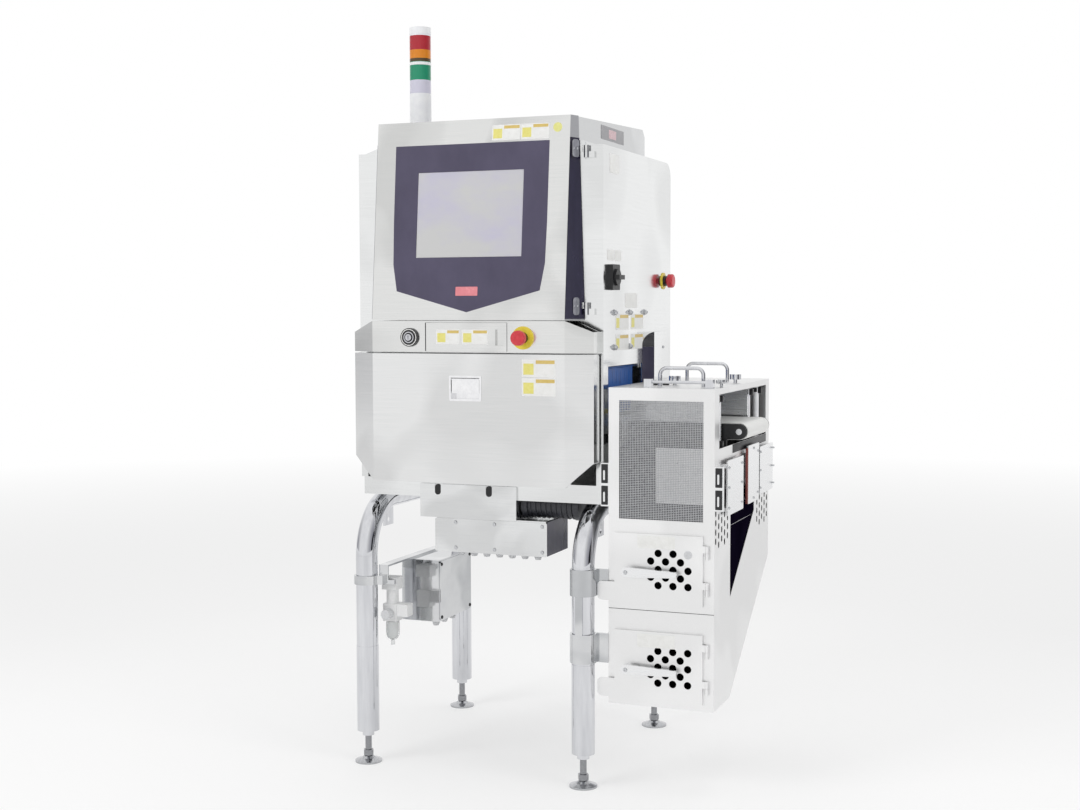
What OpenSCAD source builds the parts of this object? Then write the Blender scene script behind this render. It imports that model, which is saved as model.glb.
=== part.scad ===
// Food x-ray inspection machine with a reject unit at its outfeed.
// Lengths are in millimetres, the floor is z = 0 and the front faces -Y.

/* [Stand] */
// Outside diameter of the leg tubes
tube_d = 60.5; // [56:0.5:64]
// Wall of the leg tubes
tube_wall = 3; // [2:0.5:5]
// Distance of each leg frame's centre in from the cabinet's side
leg_inset = 39; // [34:1:44]
// Distance between the front and rear legs, centre to centre
leg_depth = 636; // [620:2:650]
// Radius of the bends at the top of the legs
bend_r = 150; // [140:2:160]
// Height of the leg frames' rails, at the tube's centre
rail_z = 731; // [722:1:740]
// Diameter of the foot pads
foot_d = 75; // [66:1:84]
// Diameter of the levelling spindles
spindle_d = 18; // [14:1:20]

/* [Cabinet] */
// Width of the cabinet
body_w = 718; // [712:2:724]
// Depth of the cabinet
body_depth = 614; // [600:2:626]
// Height of the lower part, from the bed to the upper shell
lower_h = 351; // [348:1:358]
// Height of the upper shell
upper_h = 546; // [540:1:556]
// Height of the hood at its rear
hood_h = 98; // [92:1:104]
// Thickness of the sheet steel
wall = 3; // [2:0.5:3.5]
// Diameter of the signal tower
tower_d = 60; // [50:1:66]

/* [Console] */
// Width of the console's front
console_w = 560; // [552:2:566]
// Height of the console
console_h = 534; // [528:1:540]
// How far its top leans back
console_lean = 48; // [40:1:54]
// Width of the screen's visible area
screen_w = 307; // [290:1:320]
// Height of the screen's visible area
screen_h = 230; // [216:1:240]

/* [Conveyors] */
// Width of both belts
belt_w = 240; // [230:2:246]
// Thickness of the belts
belt_t = 2; // [1.5:0.5:3]
// Height of the belts' upper face over the bed
belt_rise = 168; // [164:1:172]
// Diameter of the rollers
roller_d = 40; // [36:1:42]

/* [Reject unit] */
// Width of the reject unit's housing
reject_w = 285; // [281:1:290]
// Depth of the reject unit's housing
reject_depth = 608; // [600:2:616]
// Height of the reject unit's housing
reject_h = 830; // [826:1:838]
// Width of the bin doors
bin_door_w = 238; // [234:1:240]
// Height of the bin doors
bin_door_h = 182; // [176:1:190]
// Diameter of the holes in the bin doors
door_hole_d = 19.7; // [16:0.1:21]

/* [Hidden] */
$fn = 64;

// Finishes
steel = "#d6d8da";
dark = "#3b3a4a";
black = "#1c1c1e";
white = "#eceded";
blue = "#2b5fa8";
red = "#cf2a33";

// Clearances and overruns
over = 1;
fit = 0.05;
seat = 0.3;

// Stand
tube_r = tube_d / 2;
body_half = body_w / 2;
leg_x = body_half - leg_inset;
half_depth = leg_depth / 2;
leg_end_z = 90;
sleeve_t = 0.8;
sleeve_z = 330;
plug_t = 10;
collar_r = 16.5;
collar_h = 14;
spindle_r = spindle_d / 2;
pad_t = 5;
pad_h = 17;
pad_neck_r = 12;
pad_crown_r = 20;
pad_crown_h = 11;
hex_r = 15;
hex_h = 15;
hex_z = 19;
spindle_top_z = 150;
gusset_t = 5;
gusset_low_z = 650;
gusset_front_y = 105;
gusset_rear_y = 160;
gusset_hole_r = 8;

// Bed
bed_rise = 66;
bed_z = rail_z + bed_rise;
bed_h = 49;
bed_plate = 6;
bed_front = 52;
bed_rear = 640;
bed_inset = 7;
bed_half = body_half - bed_inset;
apron_t = 4;
saddle_half = 32;
saddle_fit = 0.2;

// Cabinet
body_front = 50;
body_rear = body_front + body_depth;
roof_z = bed_z + lower_h;
body_top = roof_z + upper_h;
roof_t = 36;
roof_low = roof_z - roof_t;
tunnel_rear = 425;
post_w = 20;
post_depth = 38;
slot_half = 10;
slot_front = 130;
shell_rear_r = 44;
open_half = 278;
open_margin = 14;
ear_in = 290.5;
ear_peak = 303;
ear_out = 338;
ear_h = 12;
shroud_t = 25;
shroud_front = 385;
shroud_slant = 37;
shroud_rear = 562;
shroud_low = 965;
shroud_r = 40;
shroud_top = 1199;
hood_half = 290;
hood_front_h = 74;
hood_rear = 625;
hood_knee = 20;
tower_x = -216;
tower_y = 150;
tower_pad_r = 36;
tower_pad_h = 8;
tower_pad_z = body_top + hood_front_h + tower_pad_h;
tower_r = tower_d / 2;
column_h = 89;
tier_h = 39;
ring_h = 8;
cap_h = 18;
tier_gap = 0.5;

// Curtains
curtain_inset = 29;
curtain_x = body_half - curtain_inset;
curtain_hang = 4;
curtain_z = roof_low - curtain_hang;
curtain_pin_r = 3;
curtain_t = 2.5;
curtain_drop = 129;
curtain_front = 97;
curtain_rear = 413;
curtain_ear_t = 5;
curtain_ear_w = 16;
curtain_ear_h = 14;
strip_count = 8;
strip_gap = 1;
curtain_hem = 12;

// Console
band_gap = 2;
band_h = 84;
band_z = roof_z + band_gap;
band_top = band_z + band_h;
console_z = band_top + band_gap;
console_front = -30;
console_rear = 49;
console_half = console_w / 2;
console_depth = console_rear - console_front;
console_flare = 27;
console_tilt = atan(console_lean / console_h);
screen_low = 168;
bezel_t = 0.8;
bezel_top = 472;
bezel_waist = 262;
bezel_knee = 150;
bezel_foot = 78;
bezel_tip = 21;
bezel_top_half = 223.5;
bezel_waist_half = 223;
bezel_knee_half = 220.5;
bezel_foot_half = 208;
screen_body = 30;
screen_rim = 12;
hinge_x = 315;
hinge_y = 42;
hinge_r = 7;
hinge_pin_r = 3;
hinge_h = 16;
hinge_low = 30;
hinge_high = 440;
hinge_leaf_t = 1;
hinge_leaf_w = 22;

// Control band and its switches
skin_half = 350;
skin_front = console_front;
skin_side_front = 0;
skin_rear = 42;
band_slope = 31;
cover_left = -118;
cover_right = 117;
cover_gap = 0.8;
cover_h = 79;
cover_back = -10;
pull_left = 84;
pull_right = 108;
pull_low = 19;
pull_high = 61;
pull_depth = 8;
switch_rise = 39.5;
switch_z = band_z + switch_rise;
key_x = -166;
key_ring_r = 25;
key_ring_h = 8;
key_r = 9;
key_out = 12;
key_in = 20;
key_slot_w = 3;
key_slot_l = 11;
estop_x = 163.5;
estop_disc_r = 30;
estop_disc_h = 3;
estop_neck_r = 15;
estop_neck_h = 17;
estop_head_r = 20;
estop_head_h = 16.5;
estop_gap = 6.5;
estop_stem_r = 8;
estop_stem_in = 5;
estop_round = 5;
block_h = 40;
block_w = 30;
side_estop_y = 590;
side_estop_rise = 198;
side_estop_z = roof_z + side_estop_rise;
side_disc_r = 24;
side_disc_h = 2;
side_neck_h = 8;
side_head_h = 16;
isolator_y = 122;
isolator_rise = 201;
isolator_z = roof_z + isolator_rise;
isolator_w = 60;
isolator_h = 68;
isolator_t = 12;
isolator_dial_r = 22;
isolator_dial_t = 6;
isolator_grip_w = 12;
isolator_grip_t = 10;

// Lower door
door_gap = 4;
door_skin = 2.5;
door_z = bed_z;
door_top = band_z - door_gap;
door_cut = 65;
door_cut_rear = 75;
door_flange_rear = 10;
door_corner_r = 10;
shield_front = -5;
shield_rear = 35;
shield_low = 43;
shield_half = 270;
shield_skin = 2;
door_axis_y = -15;
door_axis_rise = 18;
arm_x = 262;
arm_t = 8;
arm_r = 12;
arm_foot = 10;
lug_t = 5;
lug_gap = 0.3;
lug_half = 10;
door_pin_r = 5;
latch_left = -50;
latch_right = 44;
latch_low = 223;
latch_high = 291;
latch_rim = 4;
latch_proud = 2;
latch_pan = 18;
flap_gap = 1.5;
flap_t = 2;
flap_pin_r = 2;
flap_drop = 38;

// Inspection conveyor
belt_z = bed_z + belt_rise;
belt_y = 278;
plate_t = 4;
plate_gap = 8;
roller_r = roller_d / 2;
belt_r = roller_r + belt_t;
roller_z = belt_z - belt_r;
side_in = belt_w / 2 + plate_gap;
side_out = side_in + plate_t;
infeed_reach = 41;
infeed_end = -body_half - infeed_reach;
outfeed_reach = 24;
outfeed_end = body_half + outfeed_reach;
shaft_r = 8;
slider_t = 3;
plate_low = 34;
plate_high = 5;
foot_beam_w = 30;
foot_beam_x = 190;
detector_half = 25;
detector_h = 24;
source_half = 130;
source_front = 180;
source_rear = 380;
source_h = 290;
source_wall = 6;
collimator_half = 8;
computer_left = -250;
computer_right = -60;
computer_depth = 100;
computer_low = 60;
computer_h = 300;

// Under the cabinet
stand_gap = 4;
cover_left_gap = 145;
cover_x0 = cover_left_gap - leg_x;
cover_right_gap = 208;
cover_x1 = leg_x - cover_right_gap;
cover_front = 44;
cover_rear = 200;
drive_top = 785;
drive_low = 693;
notch_r = 9;
notch_left_inset = 54;
notch_left = cover_x0 + notch_left_inset;
notch_right_inset = 80;
notch_right = cover_x1 - notch_right_inset;
notch_foot = 755;
motor_x0 = cover_x1 + stand_gap;
motor_gap = 40;
motor_x1 = leg_x - motor_gap;
motor_y = 110;
motor_z = 735;
motor_r = 39;
motor_flange_r = 41;
motor_flange_t = 8;
motor_fin_count = 9;
motor_fin_t = 3;
term_left_gap = 188;
term_x0 = term_left_gap - leg_x;
term_right_gap = 128;
term_x1 = leg_x - term_right_gap;
term_front = 60;
term_rear = 218;
term_low = 597;
term_top = drive_low;
term_wall = 3;
lid_lip = 4;
gland_r = 11;
gland_h = 22;
gland_nut_h = 8;
gland_nut_r = 12.7;
gland_cap_r = 7.7;
gland_left_inset = 40;
gland_first = term_x0 + gland_left_inset;
gland_right_inset = 54;
gland_last = term_x1 - gland_right_inset;
gland_count = 7;

// Air service parts on the left
valve_gap = 34;
valve_x0 = valve_gap - leg_x;
valve_w = 116;
valve_x1 = valve_x0 + valve_w;
valve_front = 150;
valve_rear = 369;
valve_low = 376;
valve_top = 552;
valve_lid_t = 4;
valve_gland_inset = 35;
valve_gland_x = valve_x1 - valve_gland_inset;
reg_gap = 58;
reg_x = reg_gap - leg_x;
reg_y = 42;
reg_top = 519;
reg_block_h = 34;
reg_block_w = 44;
reg_bonnet_r = 17;
reg_body_w = 40;
reg_body_top = 445;
reg_body_low = 396;
reg_knob_r = 14;
reg_knob_z = 405;
reg_knob_l = 26;
reg_stem_r = 4;
knob_groove_count = 12;
knob_groove_r = 1.2;
bowl_r = 19;
bowl_h = 56;
bowl_wall = 2;
drain_r = 6;
drain_h = 14;
port_w = 34;

// Clamps on the legs
clamp_t = 5;
clamp_left_low = 503;
clamp_left_h = 25;
clamp_upper_low = 513;
clamp_upper_h = 70;
clamp_lower_low = 335;
clamp_lower_h = 77;
clamp_ear = 14;
clamp_arm_y = 12;
clamp_pad = 44;
arm_plate_t = 5;
arm_rear = 360;
strip_half = 10;
strip_t = 5;

// Reject unit
reject_gap = 26;
reject_x0 = body_half + reject_gap;
reject_x1 = reject_x0 + reject_w;
reject_y0 = 16;
reject_y1 = reject_y0 + reject_depth;
reject_over_belt = 93;
reject_top = belt_z + reject_over_belt;
reject_low = reject_top - reject_h;
reject_wall = 2.5;
weld_gap = 0.1;
seam_rise = 254;
seam_z = reject_low + seam_rise;
slope_foot_y = 179;
slope_head_rise = 318;
slope_head_z = reject_low + slope_head_rise;
window_left_rim = 29;
window_x0 = reject_x0 + window_left_rim;
window_right_rim = 30;
window_x1 = reject_x1 - window_right_rim;
window_low_drop = 339;
window_low = reject_top - window_low_drop;
window_high_drop = 30;
window_high = reject_top - window_high_drop;
infeed_low_drop = 158;
infeed_low = reject_top - infeed_low_drop;
infeed_high_drop = 8;
infeed_high = reject_top - infeed_high_drop;
infeed_y0 = 84;
infeed_y1 = 426;
outfeed_low_drop = 153;
outfeed_low = reject_top - outfeed_low_drop;
outfeed_high_drop = 13;
outfeed_high = reject_top - outfeed_high_drop;
outfeed_y0 = 60;
outfeed_y1 = 585;
chute_y0 = 180;
chute_y1 = 451;
chute_top_drop = 280;
chute_top = reject_top - chute_top_drop;
chute_low_drop = 559;
chute_low = reject_top - chute_low_drop;
chute_knee_drop = 360;
chute_knee = reject_top - chute_knee_drop;
baffle_inset = 128;
baffle_gap = 0.5;
baffle_t = 2;
baffle_low_drop = 295;
baffle_h = 144;
side_hole_r = 6;
side_hole_h = 17;
side_hole_pitch = 30;
side_hole_row = 24;
side_hole_cols = 5;
side_hole_rows = 4;
side_hole_drop = 317;
side_hole_y = 30;
side_hole_rear_y = 482;
pane_t = 2;
pane_lip = 10;
seam_gap = 1.6;
mesh_rim = 6;
mesh_t = 2;
mesh_cols = 14;
mesh_rows = 19;
mesh_bar = 3;
hole_pitch = 40;
hole_row = 21;
hole_rows = 5;
hole_cols = 3;
bin_door_inset = 19;
door_x0 = reject_x0 + bin_door_inset;
upper_door_rise = 273;
upper_door_z = reject_low + upper_door_rise;
lower_door_rise = 17;
lower_door_z = reject_low + lower_door_rise;
door_t = 8;
door_sheet = 1.5;
door_rim = 10;
tab_reach = 47;
tab_low = 2;
tab_h = 50;
tab_t = 2.5;
tab_r = 12;
bin_hinge_step = 11;
bin_hinge_x = door_x0 + bin_door_w + bin_hinge_step;
bin_hinge_r = 5;
bin_pin_r = 2.5;
bin_hinge_out = 6;
bin_hinge_y = reject_y0 - bin_hinge_out;
knuckle_h = 18;
knuckle_first = 27;
knuckle_second = 122;
knuckle_gap = 0.4;
lever_inset = 37;
lever_x = door_x0 + lever_inset;
lever_rise = 82;
lever_r = 13;
lever_l = 130;
lever_t = 8;
lever_pin_r = 5;
lever_off = 14;
lid_t = 3;
guide_inset = 135;
guide_x = reject_x0 + guide_inset;
guide_r = 7;
guide_drop = 22;
hanger_t = 6;
hanger_w = 24;
guide_y0 = 140;
guide_y1 = 416;
bail_r = 5;
bail_h = 48;
bail_w = 118;
bail_bend = 18;
bail_front_inset = 166;
bail_front_x = reject_x0 + bail_front_inset;
bail_front_y = 125;
bail_rear_inset = 143;
bail_rear_x = reject_x0 + bail_rear_inset;
bail_rear_y = 464;
knob_r = 16;
knob_h = 14;
knob_stem_r = 5;
knob_stem_h = 10;
knob_lobes = 5;
knob_dent_r = 6;
knob_dent_share = 1.18;
knob_a_inset = 125;
knob_a_x = reject_x0 + knob_a_inset;
knob_a_y = 201;
knob_b_inset = 255;
knob_b_x = reject_x0 + knob_b_inset;
knob_b_y = 345;
bar_y = 60;
bar_left_inset = 85;
bar_x0 = reject_x0 + bar_left_inset;
bar_right_inset = 270;
bar_x1 = reject_x0 + bar_right_inset;
bar_r = 4;
bar_z = 14;
bar_block = 20;

// Reject conveyor
belt_join = 9;
reject_belt_x0 = outfeed_end + belt_join;
nose_reach = 30;
nose_x = reject_x1 + nose_reach;
web_h = 43;
cyl_inset = 22;
cyl_x = reject_x1 - cyl_inset;
cyl_r = 9;
cyl_drop = 85;
cyl_low = belt_z - cyl_drop;
cyl_h = 146;
cyl_head_h = 16;
cyl_block_h = 20;
rod_r = 4;
front_cyl_a = 76;
front_cyl_b = 116;
rear_cyl_a = 446;
rear_cyl_b = 550;
gate_t = 6;
gate_front_y = 128;
gate_rear_y = 422;
gate_left_gap = 25;
gate_x0 = reject_x0 + gate_left_gap;
gate_right_gap = 15;
gate_x1 = reject_x1 - gate_right_gap;
gate_over_belt = 3;
gate_low = belt_z + gate_over_belt;
gate_h = 72;
gate_high = gate_low + gate_h;
gate_leg_w = 17;
gate_foot_drop = 22;
gate_foot_z = cyl_low - gate_foot_drop;
gate_foot_t = 6;
paddle_left_inset = 45;
paddle_x0 = reject_x0 + paddle_left_inset;
paddle_right_inset = 225;
paddle_x1 = reject_x0 + paddle_right_inset;
paddle_t = 12;
paddle_over_belt = 7;
paddle_low = belt_z + paddle_over_belt;
paddle_h = 34;
slider_half = 25;
slider_w = 28;

// Plates on the outfeed side
stand_off = 10;
side_plate_t = 4;
plate_a_y0 = 97;
plate_a_y1 = 265;
plate_a_drop = 331;
plate_a_low = reject_top - plate_a_drop;
plate_a_h = 144;
plate_b_y0 = 319;
plate_b_y1 = 446;
plate_b_drop = 327;
plate_b_low = reject_top - plate_b_drop;
plate_b_h = 160;
plate_c_y0 = 456;
plate_c_y1 = 618;
plate_c_drop = 316;
plate_c_low = reject_top - plate_c_drop;
plate_c_h = 135;
corner_block_w = 22;
corner_block_h = 114;
corner_block_t = 12;
catch_shares = [0.15, 0.55];
catch_share = 0.3;

// Reach of the whole machine, which centres it over the origin
reach_left = infeed_end;
reach_right = nose_x + belt_r;
reach_front = console_front - estop_disc_h - estop_neck_h - estop_gap - estop_head_h;
mid_x = (reach_left + reach_right) / 2;
reach_rear = leg_depth + foot_d / 2;
mid_y = (reach_front + reach_rear) / 2;

module place() {
  translate([-mid_x, -mid_y, 0]) children();
}

// A block between two opposite corners
module block(low, high) {
  translate(low) cube(high - low);
}

module rod_x(r, x0, x1, y, z) {
  translate([x0, y, z]) rotate([0, 90, 0]) cylinder(r = r, h = x1 - x0);
}

module rod_y(r, y0, y1, x, z) {
  translate([x, y0, z]) rotate([-90, 0, 0]) cylinder(r = r, h = y1 - y0);
}

module rod_z(r, z0, z1, x, y) {
  translate([x, y, z0]) cylinder(r = r, h = z1 - z0);
}

// Outlines drawn in the YZ, XZ and XY planes and given a thickness
module along_x(x0, x1) {
  translate([x0, 0, 0]) rotate([90, 0, 90]) linear_extrude(x1 - x0) children();
}

module along_y(y0, y1) {
  translate([0, y1, 0]) rotate([90, 0, 0]) linear_extrude(y1 - y0) children();
}

module along_z(z0, z1) {
  translate([0, 0, z0]) linear_extrude(z1 - z0) children();
}

module both_sides() {
  children();
  mirror([1, 0, 0]) children();
}

module rounded(w, h, r) {
  translate([r, 0]) square([w - 2 * r, h]);
  translate([0, r]) square([w, h - 2 * r]);
  for (x = [r, w - r], y = [r, h - r]) translate([x, y]) circle(r);
}

module ring(r, thick) {
  difference() {
    circle(r);
    circle(r - thick);
  }
}

// Half of a leg frame, from the middle of its rail down to one foot
module half_frame() {
  lower_r = tube_r + sleeve_t;
  translate([0, half_depth, 0]) {
    along_z(leg_end_z, sleeve_z) ring(lower_r, tube_wall + sleeve_t);
    along_z(sleeve_z, rail_z - bend_r) ring(tube_r, tube_wall);
    difference() {
      union() {
        rod_z(tube_r - tube_wall, leg_end_z, leg_end_z + plug_t, 0, 0);
        rod_z(collar_r, leg_end_z - collar_h, leg_end_z, 0, 0);
      }
      rod_z(spindle_r + seat, leg_end_z - collar_h - over, leg_end_z + plug_t + over, 0, 0);
    }
  }
  translate([0, half_depth - bend_r, rail_z - bend_r]) rotate([90, 0, 90])
    rotate_extrude(angle = 90) translate([bend_r, 0]) ring(tube_r, tube_wall);
  translate([0, 0, rail_z]) rotate([-90, 0, 0]) linear_extrude(half_depth - bend_r)
    ring(tube_r, tube_wall);
}

module gusset() {
  along_x(-gusset_t / 2, gusset_t / 2) difference() {
    intersection() {
      translate([gusset_front_y, gusset_low_z])
        square([gusset_rear_y - gusset_front_y, rail_z - tube_r + over - gusset_low_z]);
      translate([bend_r, rail_z - bend_r]) circle(bend_r - tube_r + over);
    }
    translate([(gusset_front_y + gusset_rear_y) / 2, gusset_low_z + 2 * gusset_hole_r])
      circle(gusset_hole_r);
  }
}

module leg_frame(x) {
  place() translate([x, 0, 0]) {
    translate([0, half_depth, 0]) {
      half_frame();
      mirror([0, 1, 0]) half_frame();
    }
    gusset();
  }
}

module left_leg_frame() {
  color(steel) leg_frame(-leg_x);
}

module right_leg_frame() {
  color(steel) leg_frame(leg_x);
}

module at_feet() {
  place() for (x = [-leg_x, leg_x], y = [0, leg_depth]) translate([x, y, 0]) children();
}

module foot_pads() {
  color(steel) at_feet() rotate_extrude() polygon([
    [0, 0], [foot_d / 2, 0], [foot_d / 2, pad_t], [pad_crown_r, pad_crown_h],
    [pad_neck_r, pad_h], [0, pad_h]
  ]);
}

module foot_spindles() {
  color(steel) at_feet() {
    rod_z(spindle_r, pad_h, spindle_top_z, 0, 0);
    translate([0, 0, hex_z]) cylinder(r = hex_r, h = hex_h, $fn = 6);
  }
}

module machine_bed() {
  low = bed_z - bed_h;
  color(steel) place() difference() {
    union() {
      block([-bed_half, bed_front, bed_z - bed_plate], [bed_half, bed_rear, bed_z]);
      for (y = [bed_front, bed_rear - apron_t])
        block([-bed_half, y, low], [bed_half, y + apron_t, bed_z - bed_plate]);
      for (x = [-leg_x, leg_x])
        block([x - saddle_half, bend_r, low],
           [x + saddle_half, leg_depth - bend_r, bed_z - bed_plate]);
    }
    for (x = [-leg_x, leg_x])
      rod_y(tube_r + saddle_fit, bend_r - over, leg_depth - bend_r + over, x, rail_z);
  }
}

module lower_cabinet() {
  color(steel) place() {
    difference() {
      block([-body_half, tunnel_rear, bed_z], [body_half, body_rear, roof_z]);
      block([-body_half + wall, tunnel_rear + wall, bed_z + wall],
         [body_half - wall, body_rear - wall, roof_z - wall]);
    }
    intersection() {
      along_x(body_half, body_half + shroud_t) {
        translate([shroud_front, shroud_low])
          square([shroud_rear - shroud_front, shroud_top - shroud_r - shroud_low]);
        translate([shroud_front + shroud_r, shroud_low])
          square([shroud_rear - shroud_front - 2 * shroud_r, shroud_top - shroud_low]);
        for (y = [shroud_front + shroud_r, shroud_rear - shroud_r])
          translate([y, shroud_top - shroud_r]) circle(shroud_r);
      }
      along_z(shroud_low - over, shroud_top + over) polygon([
        [body_half - over, shroud_front - shroud_slant * over / shroud_t],
        [body_half + shroud_t + over, shroud_front + shroud_slant * (shroud_t + over) / shroud_t],
        [body_half + shroud_t + over, shroud_rear + over], [body_half - over, shroud_rear + over]
      ]);
    }
  }
}

module tunnel_roof() {
  ear_gap = seat;
  color(steel) place() difference() {
    union() {
      block([-body_half, body_front, roof_low], [body_half, tunnel_rear, roof_z]);
      both_sides()
        block([body_half - post_w, body_front, bed_z],
           [body_half, body_front + post_depth, roof_low]);
      for (x = [-curtain_x, curtain_x],
         y = [curtain_front - curtain_ear_t - ear_gap, curtain_rear + ear_gap])
        block([x - curtain_ear_w / 2, y, roof_low - curtain_ear_h],
           [x + curtain_ear_w / 2, y + curtain_ear_t, roof_low]);
    }
    block([-body_half + wall, body_front + wall, roof_low + wall],
       [-slot_half - wall, tunnel_rear - wall, roof_z - wall]);
    block([slot_half + wall, body_front + wall, roof_low + wall],
       [body_half - wall, tunnel_rear - wall, roof_z - wall]);
    block([-slot_half, slot_front, roof_low - over], [slot_half, tunnel_rear - wall, roof_z + over]);
    for (x = [-curtain_x, curtain_x])
      rod_y(curtain_pin_r + fit, body_front + post_depth, tunnel_rear, x, curtain_z - curtain_pin_r);
  }
}

// Side view of the upper shell, drawn in by a wall
module shell_outline(inset) {
  y1 = body_rear - inset;
  z1 = body_top - inset;
  r = shell_rear_r - inset;
  difference() {
    translate([body_front + inset, roof_z + inset])
      square([y1 - body_front - inset, z1 - roof_z - inset]);
    translate([y1 - r, z1 - r]) difference() {
      square([r + over, r + over]);
      circle(r);
    }
  }
}

module cabinet_shell() {
  color(steel) place() {
    difference() {
      along_x(-body_half, body_half) shell_outline(0);
      along_x(-body_half + wall, body_half - wall) shell_outline(wall);
      block([-open_half, body_front - over, console_z + open_margin],
         [open_half, body_front + wall + over, body_top - open_margin]);
      block([-slot_half, slot_front, roof_z - over],
         [slot_half, tunnel_rear - wall, roof_z + wall + over]);
    }
    both_sides() along_y(body_front, body_front + wall) polygon([
      [ear_in, body_top], [ear_in, body_top + ear_h], [ear_peak, body_top + ear_h], [ear_out, body_top]
    ]);
  }
}

module hood_outline(inset) {
  rear_top = body_top + hood_h - inset;
  polygon([
    [body_front + inset, body_top + inset],
    [body_front + inset, body_top + hood_front_h - inset],
    [hood_rear - hood_knee, rear_top],
    [hood_rear - inset, rear_top - hood_knee],
    [hood_rear - inset, body_top + inset]
  ]);
}

module cabinet_hood() {
  color(steel) place() difference() {
    union() {
      along_x(-hood_half, hood_half) hood_outline(0);
      rod_z(tower_pad_r, body_top + hood_front_h, tower_pad_z, tower_x, tower_y);
    }
    along_x(-hood_half + wall, hood_half - wall) hood_outline(wall);
  }
}

tower_z = tower_pad_z + column_h;

module tower_column() {
  color(white) place() {
    rod_z(tower_r, tower_pad_z, tower_z, tower_x, tower_y);
    rod_z(tower_r, tower_z + 2 * tier_h, tower_z + 2 * tier_h + ring_h, tower_x, tower_y);
    difference() {
      top = tower_z + 4 * tier_h + ring_h;
      rod_z(tower_r, top, top + cap_h, tower_x, tower_y);
      rod_z(tower_r - wall, top - over, top + cap_h - wall, tower_x, tower_y);
    }
  }
}

module tower_lenses() {
  color(red, 0.8) place() for (i = [0:3]) {
    low = tower_z + i * tier_h + (i > 1 ? ring_h : 0);
    difference() {
      rod_z(tower_r - tier_gap, low, low + tier_h, tower_x, tower_y);
      rod_z(tower_r - wall - tier_gap, low + wall, low + tier_h - wall, tower_x, tower_y);
    }
  }
}

// The console's leaning front as a tilted prism, drawn in by a wall and cut to its box
module console_solid(inset, rear) {
  reach = 2 * console_depth;
  front_half = console_half - inset;
  rear_half = front_half + 2 * console_flare;
  intersection() {
    translate([0, console_front, console_z]) rotate([-console_tilt, 0, 0])
      along_z(-reach, console_h + reach) polygon([
        [-front_half, inset], [front_half, inset], [rear_half, reach], [-rear_half, reach]
      ]);
    block([-body_half, console_front - console_depth, console_z + inset],
       [body_half, rear, console_z + console_h - inset]);
  }
}

// Places an outline on the leaning front, with its height measured up the slope
module on_console() {
  translate([0, console_front, console_z]) rotate([-console_tilt, 0, 0]) rotate([90, 0, 0]) children();
}

module screen_outline(gap) {
  translate([-screen_w / 2 + gap, screen_low + gap]) square([screen_w - 2 * gap, screen_h - 2 * gap]);
}

module console_door() {
  color(steel) place() {
    difference() {
      console_solid(0, console_rear);
      console_solid(wall, console_rear + over);
      on_console() translate([0, 0, -wall - over]) linear_extrude(wall + 2 * over) screen_outline(0);
    }
    for (z = [console_z + hinge_low, console_z + hinge_high]) difference() {
      union() {
        rod_z(hinge_r, z, z + hinge_h, hinge_x, hinge_y);
        block([console_half + console_flare - hinge_r, hinge_y - hinge_r / 2, z],
           [hinge_x, hinge_y + hinge_r / 2, z + hinge_h]);
      }
      rod_z(hinge_pin_r + fit, z - over, z + hinge_h + over, hinge_x, hinge_y);
      console_solid(0, console_rear);
    }
  }
}

module console_bezel() {
  color(dark) place() on_console() linear_extrude(bezel_t) difference() {
    polygon([
      [-bezel_top_half, bezel_top], [-bezel_waist_half, bezel_waist], [-bezel_knee_half, bezel_knee],
      [-bezel_foot_half, bezel_foot], [0, bezel_tip], [bezel_foot_half, bezel_foot],
      [bezel_knee_half, bezel_knee], [bezel_waist_half, bezel_waist], [bezel_top_half, bezel_top]
    ]);
    screen_outline(0);
  }
}

module touch_screen() {
  color(white) place() on_console() {
    translate([0, 0, -wall]) linear_extrude(wall) screen_outline(seat);
    translate([0, 0, -wall - screen_body]) linear_extrude(screen_body) screen_outline(-screen_rim);
  }
}

module hinge_brackets() {
  color(steel) place() {
    for (z = [console_z + hinge_low, console_z + hinge_high]) {
      rod_z(hinge_r, z - hinge_h - seat, z - seat, hinge_x, hinge_y);
      rod_z(hinge_pin_r, z - seat, z + hinge_h, hinge_x, hinge_y);
      block([hinge_x - hinge_leaf_t, hinge_y, z - hinge_h - seat],
         [hinge_x + hinge_leaf_w, body_front, z - seat]);
    }
    axis_z = door_z + door_axis_rise;
    for (x = [-arm_x, arm_x]) difference() {
      union() {
        rod_x(arm_r, x - arm_t / 2, x + arm_t / 2, door_axis_y, axis_z);
        block([x - arm_t / 2, door_axis_y, axis_z - arm_r],
           [x + arm_t / 2, bed_front + arm_foot, axis_z + arm_r]);
        block([x - arm_t / 2, bed_front, bed_z], [x + arm_t / 2, bed_front + arm_foot, axis_z]);
      }
      rod_x(door_pin_r + fit, x - arm_t, x + arm_t, door_axis_y, axis_z);
    }
  }
}

// Plan of the door and the band, drawn in by a wall
module skin_plan(inset, rear) {
  polygon([
    [-skin_half + inset, rear], [-skin_half + inset, skin_side_front + inset / 2],
    [-console_half + inset / 2, skin_front + inset], [console_half - inset / 2, skin_front + inset],
    [skin_half - inset, skin_side_front + inset / 2], [skin_half - inset, rear]
  ]);
}

module cover_slot(low, high, grow) {
  block([cover_left - grow, low, band_z + wall - grow],
     [cover_right + grow, high, band_z + cover_h + grow]);
}

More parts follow.
